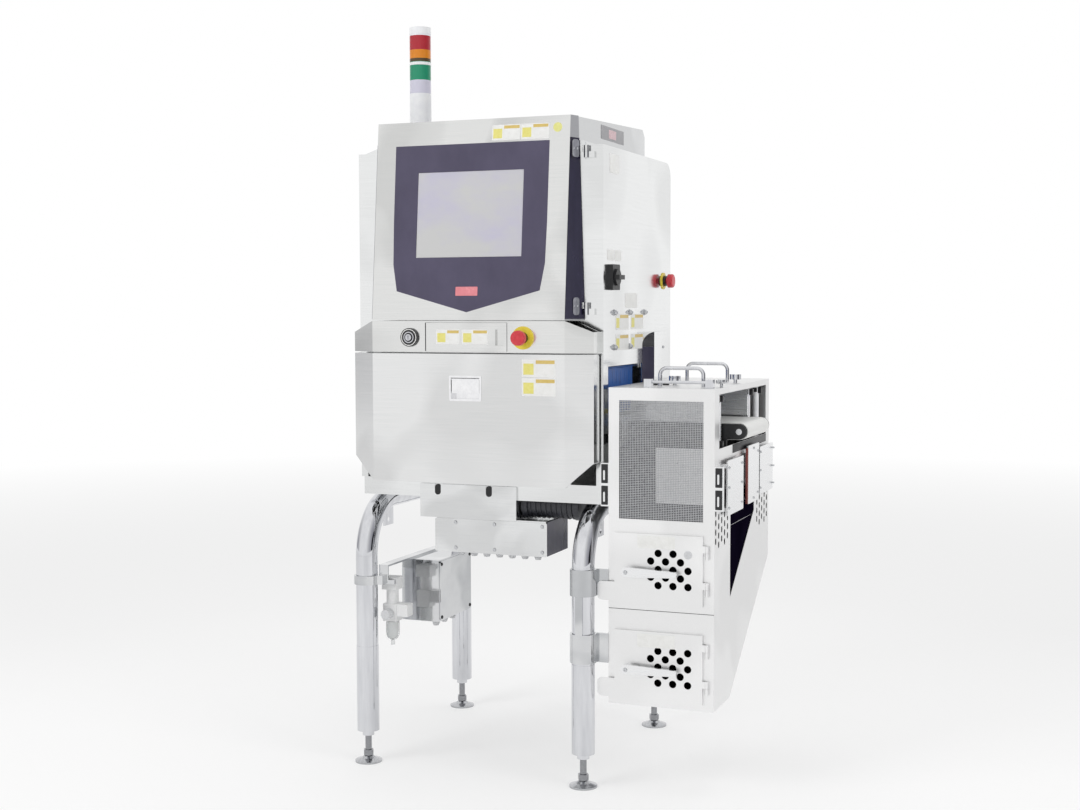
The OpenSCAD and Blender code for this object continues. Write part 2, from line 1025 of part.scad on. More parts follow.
module control_band() {
  color(steel) place() difference() {
    union() {
      difference() {
        along_z(band_z, band_top) skin_plan(0, body_front);
        along_z(band_z + wall, band_top - wall) skin_plan(wall, body_front - wall);
      }
      cover_slot(cover_back - wall, cover_back, wall);
    }
    cover_slot(skin_front - over, skin_front + wall + over, cover_gap);
    rod_y(key_r + wall + fit, skin_front - over, skin_front + wall + over, key_x, switch_z);
    rod_y(estop_neck_r + fit, skin_front - over, skin_front + wall + over, estop_x, switch_z);
    both_sides() along_y(skin_front - over, body_front + over) polygon([
      [console_half, band_top + over], [console_half, band_top],
      [skin_half + over, band_top - band_slope], [skin_half + over, band_top + over]
    ]);
  }
}

module band_cover() {
  color(steel) place() difference() {
    union() {
      cover_slot(skin_front, skin_front + wall, 0);
      block([pull_left - door_sheet, skin_front, band_z + pull_low - door_sheet],
         [pull_right + door_sheet, skin_front + pull_depth + door_sheet,
          band_z + pull_high + door_sheet]);
    }
    block([pull_left, skin_front - over, band_z + pull_low],
       [pull_right, skin_front + pull_depth, band_z + pull_high]);
  }
}

module switch_bodies() {
  front = skin_front;
  color(black) place() {
    difference() {
      union() {
        rod_y(key_ring_r, front - key_ring_h, front, key_x, switch_z);
        rod_y(key_r + wall, front, front + block_h, key_x, switch_z);
      }
      rod_y(key_r + fit, front - key_ring_h - over, front + key_in + fit, key_x, switch_z);
    }
    difference() {
      union() {
        rod_y(estop_disc_r, front - estop_disc_h, front, estop_x, switch_z);
        rod_y(estop_neck_r, front - estop_disc_h - estop_neck_h, front + estop_stem_in + wall,
           estop_x, switch_z);
        block([estop_x - block_w / 2, front + estop_stem_in + wall, switch_z - block_w / 2],
           [estop_x + block_w / 2, front + block_h, switch_z + block_w / 2]);
      }
      rod_y(estop_stem_r + fit, front - estop_disc_h - estop_neck_h - over,
         front + estop_stem_in + wall, estop_x, switch_z);
    }
    difference() {
      union() {
        rod_x(side_disc_r, body_half, body_half + side_disc_h, side_estop_y, side_estop_z);
        rod_x(estop_neck_r, body_half, body_half + side_disc_h + side_neck_h,
           side_estop_y, side_estop_z);
      }
      rod_x(estop_stem_r + fit, body_half + side_disc_h / 2,
         body_half + side_disc_h + side_neck_h + over, side_estop_y, side_estop_z);
    }
    difference() {
      along_x(body_half, body_half + isolator_t)
        translate([isolator_y - isolator_w / 2, isolator_z - isolator_h / 2])
        rounded(isolator_w, isolator_h, estop_round);
      rod_x(shaft_r + fit, body_half + isolator_t / 2, body_half + isolator_t + over,
         isolator_y, isolator_z);
    }
  }
}

module key_barrel() {
  color(steel) place() difference() {
    rod_y(key_r, skin_front - key_out, skin_front + key_in, key_x, switch_z);
    block([key_x - key_slot_w / 2, skin_front - key_out - over, switch_z - key_slot_l / 2],
       [key_x + key_slot_w / 2, skin_front - key_ring_h, switch_z + key_slot_l / 2]);
  }
}

// Mushroom head with its stem, pointing up from z = 0 at the stem's end
module mushroom(stem_h, head_h) {
  cylinder(r = estop_stem_r, h = stem_h);
  translate([0, 0, stem_h]) rotate_extrude() {
    square([estop_head_r, head_h - estop_round]);
    square([estop_head_r - estop_round, head_h]);
    translate([estop_head_r - estop_round, head_h - estop_round]) circle(estop_round);
  }
}

module estop_front_head() {
  stem = estop_neck_h + estop_disc_h + estop_gap - over / 2;
  color(red) place() translate([estop_x, skin_front, switch_z]) rotate([90, 0, 0])
    mushroom(stem, estop_head_h + over / 2);
}

module estop_side_head() {
  start = body_half + side_disc_h / 2 + estop_gap;
  color(red) place() translate([start, side_estop_y, side_estop_z]) rotate([0, 90, 0])
    mushroom(side_disc_h / 2 + side_neck_h, side_head_h);
}

module isolator_knob() {
  face = body_half + isolator_t + seat;
  color(steel) place() {
    rod_x(isolator_dial_r, face, face + isolator_dial_t, isolator_y, isolator_z);
    rod_x(shaft_r, body_half + isolator_t / 2 + fit, face, isolator_y, isolator_z);
    block([face + isolator_dial_t, isolator_y - isolator_dial_r, isolator_z - isolator_grip_w / 2],
       [face + isolator_dial_t + isolator_grip_t, isolator_y + isolator_dial_r,
        isolator_z + isolator_grip_w / 2]);
  }
}

module lower_door() {
  axis_z = door_z + door_axis_rise;
  arm_space = arm_t / 2 + lug_gap;
  color(steel) place() {
    difference() {
      union() {
        along_z(door_z, door_top) difference() {
          skin_plan(0, skin_rear);
          skin_plan(door_skin, skin_rear + over);
        }
        along_z(door_top - door_skin, door_top) skin_plan(0, door_flange_rear);
        block([-console_half, skin_front, door_z],
           [console_half, skin_front + 2 * door_flange_rear, door_z + door_skin]);
      }
      both_sides() along_y(skin_front - over, skin_rear + over) polygon([
        [console_half, door_z - over], [console_half, door_z],
        [skin_half, door_z + door_cut], [skin_half + over, door_z + door_cut_rear],
        [skin_half + over, door_z - over]
      ]);
      along_x(-skin_half - over, skin_half + over)
        translate([skin_rear - door_corner_r, door_top - door_corner_r]) difference() {
          square([door_corner_r + over, door_corner_r + over]);
          circle(door_corner_r);
        }
      for (x = [-arm_x, arm_x])
        block([x - arm_space, skin_front + door_skin, door_z - over],
           [x + arm_space, skin_rear, door_z + door_skin + over]);
      block([latch_left + latch_rim, skin_front - over, door_z + latch_low + latch_rim],
         [latch_right - latch_rim, skin_front + door_skin + over, door_z + latch_high - latch_rim]);
    }
    difference() {
      block([-shield_half, shield_front, door_z + shield_low],
         [shield_half, shield_rear, door_top - 2 * door_skin]);
      block([-shield_half + shield_skin, shield_front + shield_skin, door_z + shield_low + shield_skin],
         [shield_half - shield_skin, shield_rear - shield_skin,
          door_top - 2 * door_skin - shield_skin]);
    }
    for (x = [-shield_half, 0, shield_half - shield_skin])
      for (z = [door_z + shield_low, door_z + latch_high + latch_rim])
        block([x, skin_front + door_skin, z], [x + shield_skin, shield_front, z + 2 * arm_r]);
    for (x = [-arm_x, arm_x]) {
      rod_x(door_pin_r, x - arm_space - lug_t, x + arm_space + lug_t, door_axis_y, axis_z);
      for (x0 = [x - arm_space - lug_t, x + arm_space])
        block([x0, skin_front + door_skin, axis_z - lug_half],
           [x0 + lug_t, door_axis_y + lug_half, axis_z + lug_half]);
    }
  }
}

module latch_frame() {
  low = door_z + latch_low;
  high = door_z + latch_high;
  in_left = latch_left + latch_rim;
  in_right = latch_right - latch_rim;
  in_low = low + latch_rim;
  in_high = high - latch_rim;
  color(steel) place() difference() {
    union() {
      along_y(skin_front - latch_proud, skin_front) translate([latch_left, low])
        rounded(latch_right - latch_left, high - low, latch_rim);
      block([in_left, skin_front, in_low], [in_right, skin_front + latch_pan, in_high]);
    }
    block([in_left + door_sheet, skin_front - latch_proud - over, in_low + door_sheet],
       [in_right - door_sheet, skin_front + latch_pan - door_sheet, in_high - door_sheet]);
    rod_x(flap_pin_r + fit, in_left + door_sheet / 3, in_right - door_sheet / 3, skin_front + flap_pin_r,
       in_high - 2 * flap_pin_r - door_sheet);
  }
}

module latch_flap() {
  pin_z = door_z + latch_high - latch_rim - 2 * flap_pin_r - door_sheet;
  left = latch_left + latch_rim + door_sheet;
  right = latch_right - latch_rim - door_sheet;
  color(white) place() {
    rod_x(flap_pin_r, left - door_sheet / 2, right + door_sheet / 2, skin_front + flap_pin_r, pin_z);
    block([left + flap_gap, skin_front, pin_z - flap_drop],
       [right - flap_gap, skin_front + flap_t, pin_z]);
  }
}

module curtain(x, rear) {
  pin_z = curtain_z - curtain_pin_r;
  low = curtain_z - curtain_drop;
  run = rear - curtain_front;
  color(blue) place() {
    rod_y(curtain_pin_r, curtain_front - curtain_ear_t, curtain_rear + curtain_ear_t, x, pin_z);
    difference() {
      block([x - curtain_t / 2, curtain_front, low], [x + curtain_t / 2, rear, pin_z]);
      for (i = [1:strip_count - 1]) {
        y = curtain_front + run * i / strip_count;
        block([x - curtain_t, y - strip_gap / 2, low - over],
           [x + curtain_t, y + strip_gap / 2, pin_z - curtain_hem]);
      }
    }
  }
}

// The shroud closes the mouth's rear end, so the outfeed's strips stop before it
module curtain_outfeed() {
  curtain(curtain_x, shroud_front - curtain_pin_r);
}

module curtain_infeed() {
  curtain(-curtain_x, curtain_rear);
}

module xray_source() {
  low = roof_z + wall;
  color(steel) place() difference() {
    union() {
      block([-source_half, source_front, low], [source_half, source_rear, low + source_h]);
      block([-source_half / 2, source_front + source_half / 2, low + source_h],
         [source_half / 2, source_rear - source_half / 2, low + source_h + source_half / 2]);
    }
    block([-source_half + source_wall, source_front + source_wall, low + 4 * source_wall],
       [source_half - source_wall, source_rear - source_wall, low + source_h - source_wall]);
    block([-collimator_half / 2, source_front + 4 * wall, low - over],
       [collimator_half / 2, source_rear - 4 * wall, low + 4 * source_wall + over]);
  }
}

module control_computer() {
  color(steel) place() difference() {
    block([computer_left, body_rear - wall - computer_depth, roof_z + computer_low],
       [computer_right, body_rear - wall, roof_z + computer_low + computer_h]);
    block([computer_left + wall, body_rear - computer_depth, roof_z + computer_low + wall],
       [computer_right - wall, body_rear - 2 * wall, roof_z + computer_low + computer_h - wall]);
  }
}

module line_detector() {
  top = belt_z - belt_t - slider_t - seat;
  color(white) place() block([-detector_half, belt_y - side_in, top - detector_h],
                [detector_half, belt_y + side_in, top]);
}

module conveyor_frame() {
  y0 = belt_y - side_out;
  y1 = belt_y + side_out;
  low = roller_z - plate_low / 2;
  high = belt_z - plate_high;
  color(steel) place() difference() {
    union() {
      for (y = [y0, y1 - plate_t])
        along_x(infeed_end + belt_r / 2, outfeed_end - belt_r / 2) translate([y, low])
          square([plate_t, high - low]);
      for (side = [-1, 1]) {
        x = side * foot_beam_x;
        for (y = [y0, y1 - plate_t])
          block([x - foot_beam_w, y, bed_z], [x + foot_beam_w, y + plate_t, low]);
        block([x - foot_beam_w / 2, y0, low - foot_beam_w],
           [x + foot_beam_w / 2, y1, roller_z - belt_r - belt_t]);
      }
      block([infeed_end + 3 * belt_r, y0 + plate_t, belt_z - belt_t - slider_t],
         [-slot_half, y1 - plate_t, belt_z - belt_t]);
      block([slot_half, y0 + plate_t, belt_z - belt_t - slider_t],
         [outfeed_end - 3 * belt_r, y1 - plate_t, belt_z - belt_t]);
    }
    for (x = [infeed_end + belt_r, outfeed_end - belt_r])
      rod_y(shaft_r + fit, y0 - over, y1 + over, x, roller_z);
  }
}

// A belt as one closed loop round two rollers
module belt_loop(x0, x1) {
  mid_low = roller_z - belt_r;
  color(white) place() difference() {
    union() {
      for (x = [x0 + belt_r, x1 - belt_r])
        rod_y(belt_r, belt_y - belt_w / 2, belt_y + belt_w / 2, x, roller_z);
      block([x0 + belt_r, belt_y - belt_w / 2, mid_low], [x1 - belt_r, belt_y + belt_w / 2, belt_z]);
    }
    for (x = [x0 + belt_r, x1 - belt_r])
      rod_y(roller_r + fit, belt_y - belt_w, belt_y + belt_w, x, roller_z);
    block([x0 + belt_r, belt_y - belt_w, roller_z - roller_r - fit],
       [x1 - belt_r, belt_y + belt_w, roller_z + roller_r + fit]);
  }
}

module roller(x) {
  color(steel) place() {
    rod_y(roller_r, belt_y - belt_w / 2, belt_y + belt_w / 2, x, roller_z);
    rod_y(shaft_r, belt_y - side_out, belt_y + side_out, x, roller_z);
  }
}

module xray_belt() {
  belt_loop(infeed_end, outfeed_end);
}

module drive_roller() {
  roller(outfeed_end - belt_r);
}

module tail_roller() {
  roller(infeed_end + belt_r);
}

module drive_motor() {
  fin_run = motor_x1 - motor_x0 - 4 * motor_flange_t;
  color(black) place() {
    rod_x(motor_r - motor_fin_t, motor_x0, motor_x1, motor_y, motor_z);
    for (x = [motor_x0, motor_x1 - 2 * motor_flange_t])
      rod_x(motor_flange_r, x, x + 2 * motor_flange_t, motor_y, motor_z);
    for (i = [0:motor_fin_count - 1]) {
      x = motor_x0 + 2 * motor_flange_t + fin_run * (i + 0.5) / motor_fin_count;
      rod_x(motor_r, x, x + motor_fin_t, motor_y, motor_z);
    }
    for (x = [motor_x0, motor_x1 - 2 * motor_flange_t])
      block([x, motor_y - motor_r / 2, motor_z],
         [x + 2 * motor_flange_t, motor_y + motor_r / 2, bed_z - bed_plate]);
  }
}

module drive_cover() {
  top = bed_z - bed_plate;
  color(steel) place() difference() {
    union() {
      block([cover_x0, cover_front, drive_low], [cover_x1, bed_front - seat, drive_top]);
      block([cover_x0, bed_front - seat, drive_low], [cover_x1, cover_rear, bed_z - bed_h - seat]);
      block([cover_x0 + wall, bed_front + apron_t + seat, bed_z - bed_h - seat],
         [cover_x1 - wall, cover_rear, top]);
    }
    block([cover_x0 + wall, cover_front + wall, drive_low + wall],
       [cover_x1 - wall, cover_rear - wall, bed_z - bed_h - seat - wall]);
    for (x = [notch_left, notch_right]) {
      rod_y(notch_r, cover_front - over, cover_front + wall, x, notch_foot + notch_r);
      block([x - notch_r, cover_front - over, notch_foot + notch_r],
         [x + notch_r, cover_front + wall, drive_top + over]);
    }
    block([cover_x0 + 2 * wall, bed_front + apron_t + 2 * wall, bed_z - bed_h - 2 * wall],
       [cover_x1 - 2 * wall, cover_rear - wall, top - wall]);
  }
}

module terminal_box() {
  color(steel) place() {
    difference() {
      block([term_x0, term_front, term_low], [term_x1, term_rear, term_top]);
      block([term_x0 + term_wall, term_front + term_wall, term_low + term_wall],
         [term_x1 - term_wall, term_rear - term_wall, term_top - term_wall]);
    }
    along_y(term_front - term_wall, term_front) translate([term_x0 - lid_lip, term_low])
      rounded(term_x1 - term_x0 + 2 * lid_lip, term_top - term_low - lid_lip, lid_lip);
  }
}

module gland(x, y, top) {
  translate([x, y, top - gland_nut_h]) cylinder(r = gland_nut_r, h = gland_nut_h, $fn = 6);
  translate([x, y, top - gland_h]) rotate_extrude() polygon([
    [gland_r / 3, 0], [gland_cap_r, 0], [gland_r, gland_nut_h], [gland_r, gland_h - gland_nut_h],
    [gland_r / 3, gland_h - gland_nut_h]
  ]);
}

module cable_glands() {
  color(white) place() {
    for (i = [0:gland_count - 1])
      gland(gland_first + (gland_last - gland_first) * i / (gland_count - 1),
         (term_front + term_rear) / 2, term_low);
    for (i = [1:3])
      gland(valve_gland_x, valve_front + (valve_rear - valve_front) * i / 4, valve_low);
  }
}

module valve_box() {
  color(steel) place() {
    difference() {
      block([valve_x0, valve_front, valve_low], [valve_x1, valve_rear, valve_top]);
      block([valve_x0 + wall, valve_front + wall, valve_low + wall],
         [valve_x1 - wall, valve_rear - wall, valve_top - wall]);
    }
    along_x(valve_x1, valve_x1 + valve_lid_t) translate([valve_front + lid_lip, valve_low + lid_lip])
      rounded(valve_rear - valve_front - 2 * lid_lip, valve_top - valve_low - 2 * lid_lip, 2 * lid_lip);
  }
}

module air_regulator() {
  color(white) place() difference() {
    union() {
      block([reg_x - reg_block_w / 2, reg_y - reg_block_w / 2, reg_top - reg_block_h],
         [reg_x + reg_block_w / 2, reg_y + reg_block_w / 2, reg_top]);
      rod_z(reg_bonnet_r, reg_body_top, reg_top - reg_block_h, reg_x, reg_y);
      block([reg_x - reg_body_w / 2, reg_y - reg_body_w / 2, reg_body_low],
         [reg_x + reg_body_w / 2, reg_y + reg_body_w / 2, reg_body_top]);
      block([reg_x + reg_body_w / 2, reg_y - port_w / 2, reg_body_top - port_w],
         [reg_x + reg_body_w / 2 + port_w, reg_y + port_w / 2, reg_body_top]);
    }
    rod_y(reg_stem_r + fit, reg_y - reg_body_w, reg_y, reg_x, reg_knob_z + reg_knob_r);
  }
}

module regulator_knob() {
  face = reg_y - reg_body_w / 2 - seat;
  z = reg_knob_z + reg_knob_r;
  color(black) place() {
    along_y(face - reg_knob_l, face) translate([reg_x, z]) difference() {
      circle(reg_knob_r);
      for (i = [0:knob_groove_count - 1]) rotate(i * 360 / knob_groove_count)
        translate([reg_knob_r, 0]) circle(knob_groove_r);
    }
    rod_y(reg_stem_r, face, reg_y - fit, reg_x, z);
  }
}

module filter_bowl() {
  color(white) place() translate([reg_x, reg_y, reg_body_low - bowl_h]) {
    difference() {
      union() {
        translate([0, 0, bowl_r]) cylinder(r = bowl_r, h = bowl_h - bowl_r);
        translate([0, 0, bowl_r]) sphere(bowl_r);
      }
      translate([0, 0, bowl_r]) cylinder(r = bowl_r - bowl_wall, h = bowl_h - bowl_r - bowl_wall);
      translate([0, 0, bowl_r]) sphere(bowl_r - bowl_wall);
    }
    translate([0, 0, bowl_wall / 2 - drain_h]) cylinder(r = drain_r, h = drain_h);
  }
}

// A clamp band round a leg with its ear on the right
module clamp_band(low, h, r) {
  difference() {
    union() {
      translate([0, 0, low]) cylinder(r = r + clamp_t, h = h);
      translate([r + clamp_t + clamp_ear / 2, 0, low + h / 2])
        cube([clamp_ear + clamp_t, 2 * clamp_t + strip_t, h], center = true);
    }
    translate([0, 0, low - over]) cylinder(r = r, h = h + 2 * over);
  }
}

// A clamp ring whose arm reaches the reject unit's wall and ends in a pad against it
module hanging_clamp(low, h, r) {
  face = reject_x0 - leg_x;
  along_z(low, low + h) ring(r + clamp_t, clamp_t);
  block([r + seat, clamp_arm_y, low], [face, clamp_arm_y + 2 * clamp_t, low + h]);
  block([face - arm_plate_t, clamp_arm_y, low], [face, reject_y0 + clamp_pad, low + h]);
}

module leg_clamps() {
  r = tube_r + saddle_fit;
  color(steel) place() {
    translate([-leg_x, 0, 0]) clamp_band(clamp_left_low, clamp_left_h, r);
    block([-leg_x + r + clamp_ear, clamp_t + strip_t / 2, clamp_left_low],
       [reg_x + reg_block_w / 2, reg_y - reg_block_w / 2, clamp_left_low + clamp_left_h / 2]);
    block([valve_x0, clamp_t + strip_t / 2, clamp_left_low],
       [valve_x0 + 2 * clamp_ear, clamp_t + strip_t / 2 + arm_plate_t, valve_top + arm_plate_t]);
    block([valve_x0, clamp_t + strip_t / 2, valve_top],
       [valve_x0 + 2 * clamp_ear, arm_rear, valve_top + arm_plate_t]);
    translate([leg_x, 0, 0]) hanging_clamp(clamp_upper_low, clamp_upper_h, r);
    translate([leg_x, 0, 0]) hanging_clamp(clamp_lower_low, clamp_lower_h, r);
    translate([leg_x, leg_depth, 0]) mirror([0, 1, 0]) hanging_clamp(clamp_upper_low, clamp_upper_h, r);
    block([leg_x - strip_half, -r - clamp_t, clamp_lower_low + clamp_lower_h],
       [leg_x + strip_half, strip_t - r - clamp_t, clamp_upper_low]);
  }
}

// The reject unit's side view, drawn in by a wall
module reject_outline(inset) {
  run_y = reject_y1 - slope_foot_y;
  run_z = slope_head_z - reject_low;
  shift = inset * (sqrt(run_y * run_y + run_z * run_z) - run_z) / run_y;
  foot = inset * (sqrt(run_y * run_y + run_z * run_z) - run_y) / run_z;
  polygon([
    [reject_y0 + inset, reject_low + inset], [slope_foot_y - foot, reject_low + inset],
    [reject_y1 - inset, slope_head_z + shift], [reject_y1 - inset, reject_top + (inset > 0 ? over : 0)],
    [reject_y0 + inset, reject_top + (inset > 0 ? over : 0)]
  ]);
}

module bin_opening(z) {
  block([door_x0 + door_rim, reject_y0 - over, z + door_rim],
     [door_x0 + bin_door_w - door_rim, reject_y0 + reject_wall + over, z + bin_door_h - door_rim]);
}

// Staggered upright slots in the housing's outfeed wall
module side_holes(y) {
  straight = side_hole_h - 2 * side_hole_r;
  along_x(reject_x1 - reject_wall - over, reject_x1 + over)
    for (col = [0:side_hole_cols - 1], row = [0:side_hole_rows - 1])
      translate([y + col * side_hole_pitch,
            reject_top - side_hole_drop - (row + (col % 2) / 2) * side_hole_row]) {
        square([2 * side_hole_r, straight], center = true);
        for (z = [-straight / 2, straight / 2]) translate([0, z]) circle(side_hole_r);
      }
}

// A side wall of the housing, which starts behind the front wall
module housing_side(x) {
  along_x(x, x + reject_wall) intersection() {
    reject_outline(0);
    translate([reject_y0 + reject_wall + weld_gap, reject_low]) square([reject_depth, reject_h]);
  }
}

// Welded from flat panels: upper and lower front, two sides, floor, slope and rear, and the chute
module reject_housing() {
  side_in_x = reject_x0 + reject_wall;
  side_out_x = reject_x1 - reject_wall;
  inner_y0 = reject_y0 + reject_wall + weld_gap;
  color(steel) place() {
    difference() {
      block([reject_x0, reject_y0, reject_low], [reject_x1, reject_y0 + reject_wall, reject_top]);
      block([window_x0, reject_y0 - over, window_low],
         [window_x1, reject_y0 + reject_wall + over, window_high]);
      for (z = [upper_door_z, lower_door_z]) bin_opening(z);
      block([reject_x0 - over, reject_y0 - over, seam_z - seam_gap],
         [reject_x1 + over, reject_y0 + reject_wall / 2, seam_z]);
      block([reject_x0 - over, reject_y0, seam_z - weld_gap],
         [reject_x1 + over, reject_y0 + reject_wall + over, seam_z]);
    }
    difference() {
      housing_side(reject_x0);
      block([reject_x0 - over, infeed_y0, infeed_low], [side_in_x + over, infeed_y1, infeed_high]);
    }
    difference() {
      housing_side(side_out_x);
      block([side_out_x - over, outfeed_y0, outfeed_low], [reject_x1 + over, outfeed_y1, outfeed_high]);
      along_x(side_out_x - over, reject_x1 + over) polygon([
        [chute_y0, chute_low], [chute_y1 - 2 * reject_wall, chute_knee + reject_wall],
        [chute_y1 - 2 * reject_wall, chute_top], [chute_y0, chute_top]
      ]);
      side_holes(side_hole_y);
      side_holes(side_hole_rear_y);
    }
    along_x(side_in_x + weld_gap, side_out_x - weld_gap) {
      difference() {
        reject_outline(0);
        reject_outline(reject_wall);
        translate([0, reject_low - over]) square([inner_y0, reject_h + 2 * over]);
        translate([slope_foot_y, reject_low - over]) square([weld_gap, 3 * reject_wall]);
        translate([reject_y1 - 2 * reject_wall, slope_head_z]) square([3 * reject_wall, weld_gap]);
      }
      difference() {
        polygon([
          [inner_y0, seam_z], [chute_y0, seam_z], [chute_y1, chute_knee - reject_wall],
          [chute_y1, chute_top], [chute_y1 - reject_wall, chute_top],
          [chute_y1 - reject_wall, chute_knee], [chute_y0, seam_z + reject_wall],
          [inner_y0, seam_z + reject_wall]
        ]);
        translate([chute_y0, seam_z - over]) square([weld_gap, 3 * reject_wall]);
        translate([chute_y1 - 2 * reject_wall, chute_knee]) square([3 * reject_wall, weld_gap]);
      }
    }
    baffle_low = reject_top - baffle_low_drop;
    baffle_y = reject_y0 + reject_wall + mesh_t + baffle_gap;
    block([reject_x0 + baffle_inset, baffle_y, baffle_low],
       [side_out_x - weld_gap, baffle_y + baffle_t, baffle_low + baffle_h]);
    for (z = [upper_door_z, lower_door_z], k = [knuckle_first, knuckle_second]) {
      low = z + k;
      rod_z(bin_hinge_r, low, low + knuckle_h - knuckle_gap, bin_hinge_x, bin_hinge_y);
      rod_z(bin_pin_r, low, low + 2 * knuckle_h, bin_hinge_x, bin_hinge_y);
      block([bin_hinge_x - bin_hinge_r / 2, bin_hinge_y, low],
         [bin_hinge_x + bin_hinge_r / 2, reject_y0, low + knuckle_h - knuckle_gap]);
    }
  }
}

// The window's mesh, and the pane that closes the chute's opening from inside
module window_mesh() {
  w = window_x1 - window_x0 + 2 * mesh_rim;
  h = window_high - window_low + 2 * mesh_rim;
  cell_w = (w - 2 * mesh_rim - mesh_bar) / mesh_cols;
  cell_h = (h - 2 * mesh_rim - mesh_bar) / mesh_rows;
  color(steel) place() along_y(reject_y0 + reject_wall, reject_y0 + reject_wall + mesh_t)
    translate([window_x0 - mesh_rim, window_low - mesh_rim]) difference() {
      square([w, h]);
      for (i = [0:mesh_cols - 1], j = [0:mesh_rows - 1])
        translate([mesh_rim + mesh_bar + i * cell_w, mesh_rim + mesh_bar + j * cell_h])
          square([cell_w - mesh_bar, cell_h - mesh_bar]);
    }
  pane_x = reject_x1 - reject_wall - seat;
  color(dark) place() along_x(pane_x - pane_t, pane_x) polygon([
    [chute_y0 - pane_lip, chute_low], [chute_y0, chute_low],
    [chute_y1 - 2 * reject_wall, chute_knee + reject_wall],
    [chute_y1 - 2 * reject_wall, chute_top + pane_lip], [chute_y0 - pane_lip, chute_top + pane_lip]
  ]);
}

module bin_door(z, holes_x) {
  face = reject_y0 - seat - door_t;
  back = reject_y0 - seat;
  first_z = z + bin_door_h / 2 + hole_row * 2;
  color(steel) place() {
    difference() {
      block([door_x0, face, z], [door_x0 + bin_door_w, back, z + bin_door_h]);
      block([door_x0 + door_sheet, face + door_sheet, z + door_sheet],
         [door_x0 + bin_door_w - door_sheet, back + over, z + bin_door_h - door_sheet]);
      for (row = [0:hole_rows - 1], col = [0:hole_cols - 1])
        rod_y(door_hole_d / 2, face - over, face + door_sheet + over,
           holes_x + (col - (row % 2) / 2) * hole_pitch, first_z - row * hole_row);
      rod_y(lever_pin_r + fit, face - over, back, lever_x, z + lever_rise);
    }
    along_y(face, face + tab_t) translate([door_x0 - tab_reach, z + tab_low])
      rounded(tab_reach + tab_r + door_sheet, tab_h, tab_r);
    difference() {
      rod_y(2 * lever_pin_r, face + door_sheet, back - over, lever_x, z + lever_rise);
      rod_y(lever_pin_r + fit, face, back, lever_x, z + lever_rise);
    }
    for (k = [knuckle_first, knuckle_second]) {
      low = z + k + knuckle_h;
      difference() {
        union() {
          rod_z(bin_hinge_r, low, low + knuckle_h, bin_hinge_x, bin_hinge_y);
          block([door_x0 + bin_door_w - over, bin_hinge_y - bin_hinge_r / 2, low],
             [bin_hinge_x, bin_hinge_y + bin_hinge_r / 2, low + knuckle_h]);
        }
        rod_z(bin_pin_r + fit, low - over, low + knuckle_h + over, bin_hinge_x, bin_hinge_y);
      }
    }
  }
}

holes_inset = 119;
holes_x = door_x0 + holes_inset;

module bin_door_upper() {
  bin_door(upper_door_z, holes_x);
}

module bin_door_lower() {
  bin_door(lower_door_z, holes_x);
}

module bin_lever(z) {
  face = reject_y0 - seat - door_t;
  axis_z = z + lever_rise;
  color(steel) place() {
    rod_y(lever_pin_r, face - lever_off, reject_y0 - seat - 2 * over, lever_x, axis_z);
    rod_y(lever_r, face - lever_off, face - seat, lever_x, axis_z);
    along_y(face - lever_off - lever_t, face - lever_off) {
      translate([lever_x, axis_z]) circle(lever_r);
      translate([lever_x + lever_l, axis_z]) circle(lever_t);
      polygon([
        [lever_x, axis_z - lever_r], [lever_x + lever_l, axis_z - lever_t],
        [lever_x + lever_l, axis_z + lever_t], [lever_x, axis_z + lever_r]
      ]);
    }
  }
}

module bin_lever_upper() {
  bin_lever(upper_door_z);
}

module bin_lever_lower() {
  bin_lever(lower_door_z);
}

module reject_lid() {
  rod_z0 = reject_top - guide_drop;
  color(steel) place() {
    block([reject_x0, reject_y0, reject_top], [reject_x1, reject_y1, reject_top + lid_t]);
    for (y = [guide_y0, guide_y1 - hanger_t])
      block([guide_x - hanger_w / 2, y, rod_z0 - guide_r - wall],
         [guide_x + hanger_w / 2, y + hanger_t, reject_top]);
    rod_y(guide_r, guide_y0 + hanger_t, guide_y1 - hanger_t, guide_x, rod_z0);
  }
}

// Bail handle of bent rod, standing on z = 0 with its run along X
module bail() {
  half = bail_w / 2;
  both_sides() {
    translate([half, 0, 0]) cylinder(r = bail_r, h = bail_h - bail_bend);
    translate([half - bail_bend, 0, bail_h - bail_bend]) rotate([90, 0, 0])
      rotate_extrude(angle = 90) translate([bail_bend, 0]) circle(bail_r);
    translate([0, 0, bail_h]) rotate([0, 90, 0]) cylinder(r = bail_r, h = half - bail_bend);
  }
}

module star_knob() {
  cylinder(r = knob_stem_r, h = knob_stem_h);
  along_z(knob_stem_h, knob_stem_h + knob_h) difference() {
    circle(knob_r);
    for (i = [0:knob_lobes - 1]) rotate((i + 0.5) * 360 / knob_lobes)
      translate([knob_r * knob_dent_share, 0]) circle(knob_dent_r);
  }
}

module lid_fittings() {
  top = reject_top + lid_t;
  color(steel) place() {
    translate([bail_front_x, bail_front_y, top]) bail();
    translate([bail_rear_x, bail_rear_y, top]) bail();
    translate([knob_a_x, knob_a_y, top]) star_knob();
    translate([knob_b_x, knob_b_y, top]) star_knob();
    rod_x(bar_r, bar_x0 + bar_block, bar_x1 - bar_block, bar_y, top + bar_z);
    for (x = [bar_x0, bar_x1 - bar_block])
      block([x, bar_y - bar_block / 2, top],
         [x + bar_block, bar_y + bar_block / 2, top + bar_z + 2 * bar_r]);
  }
}

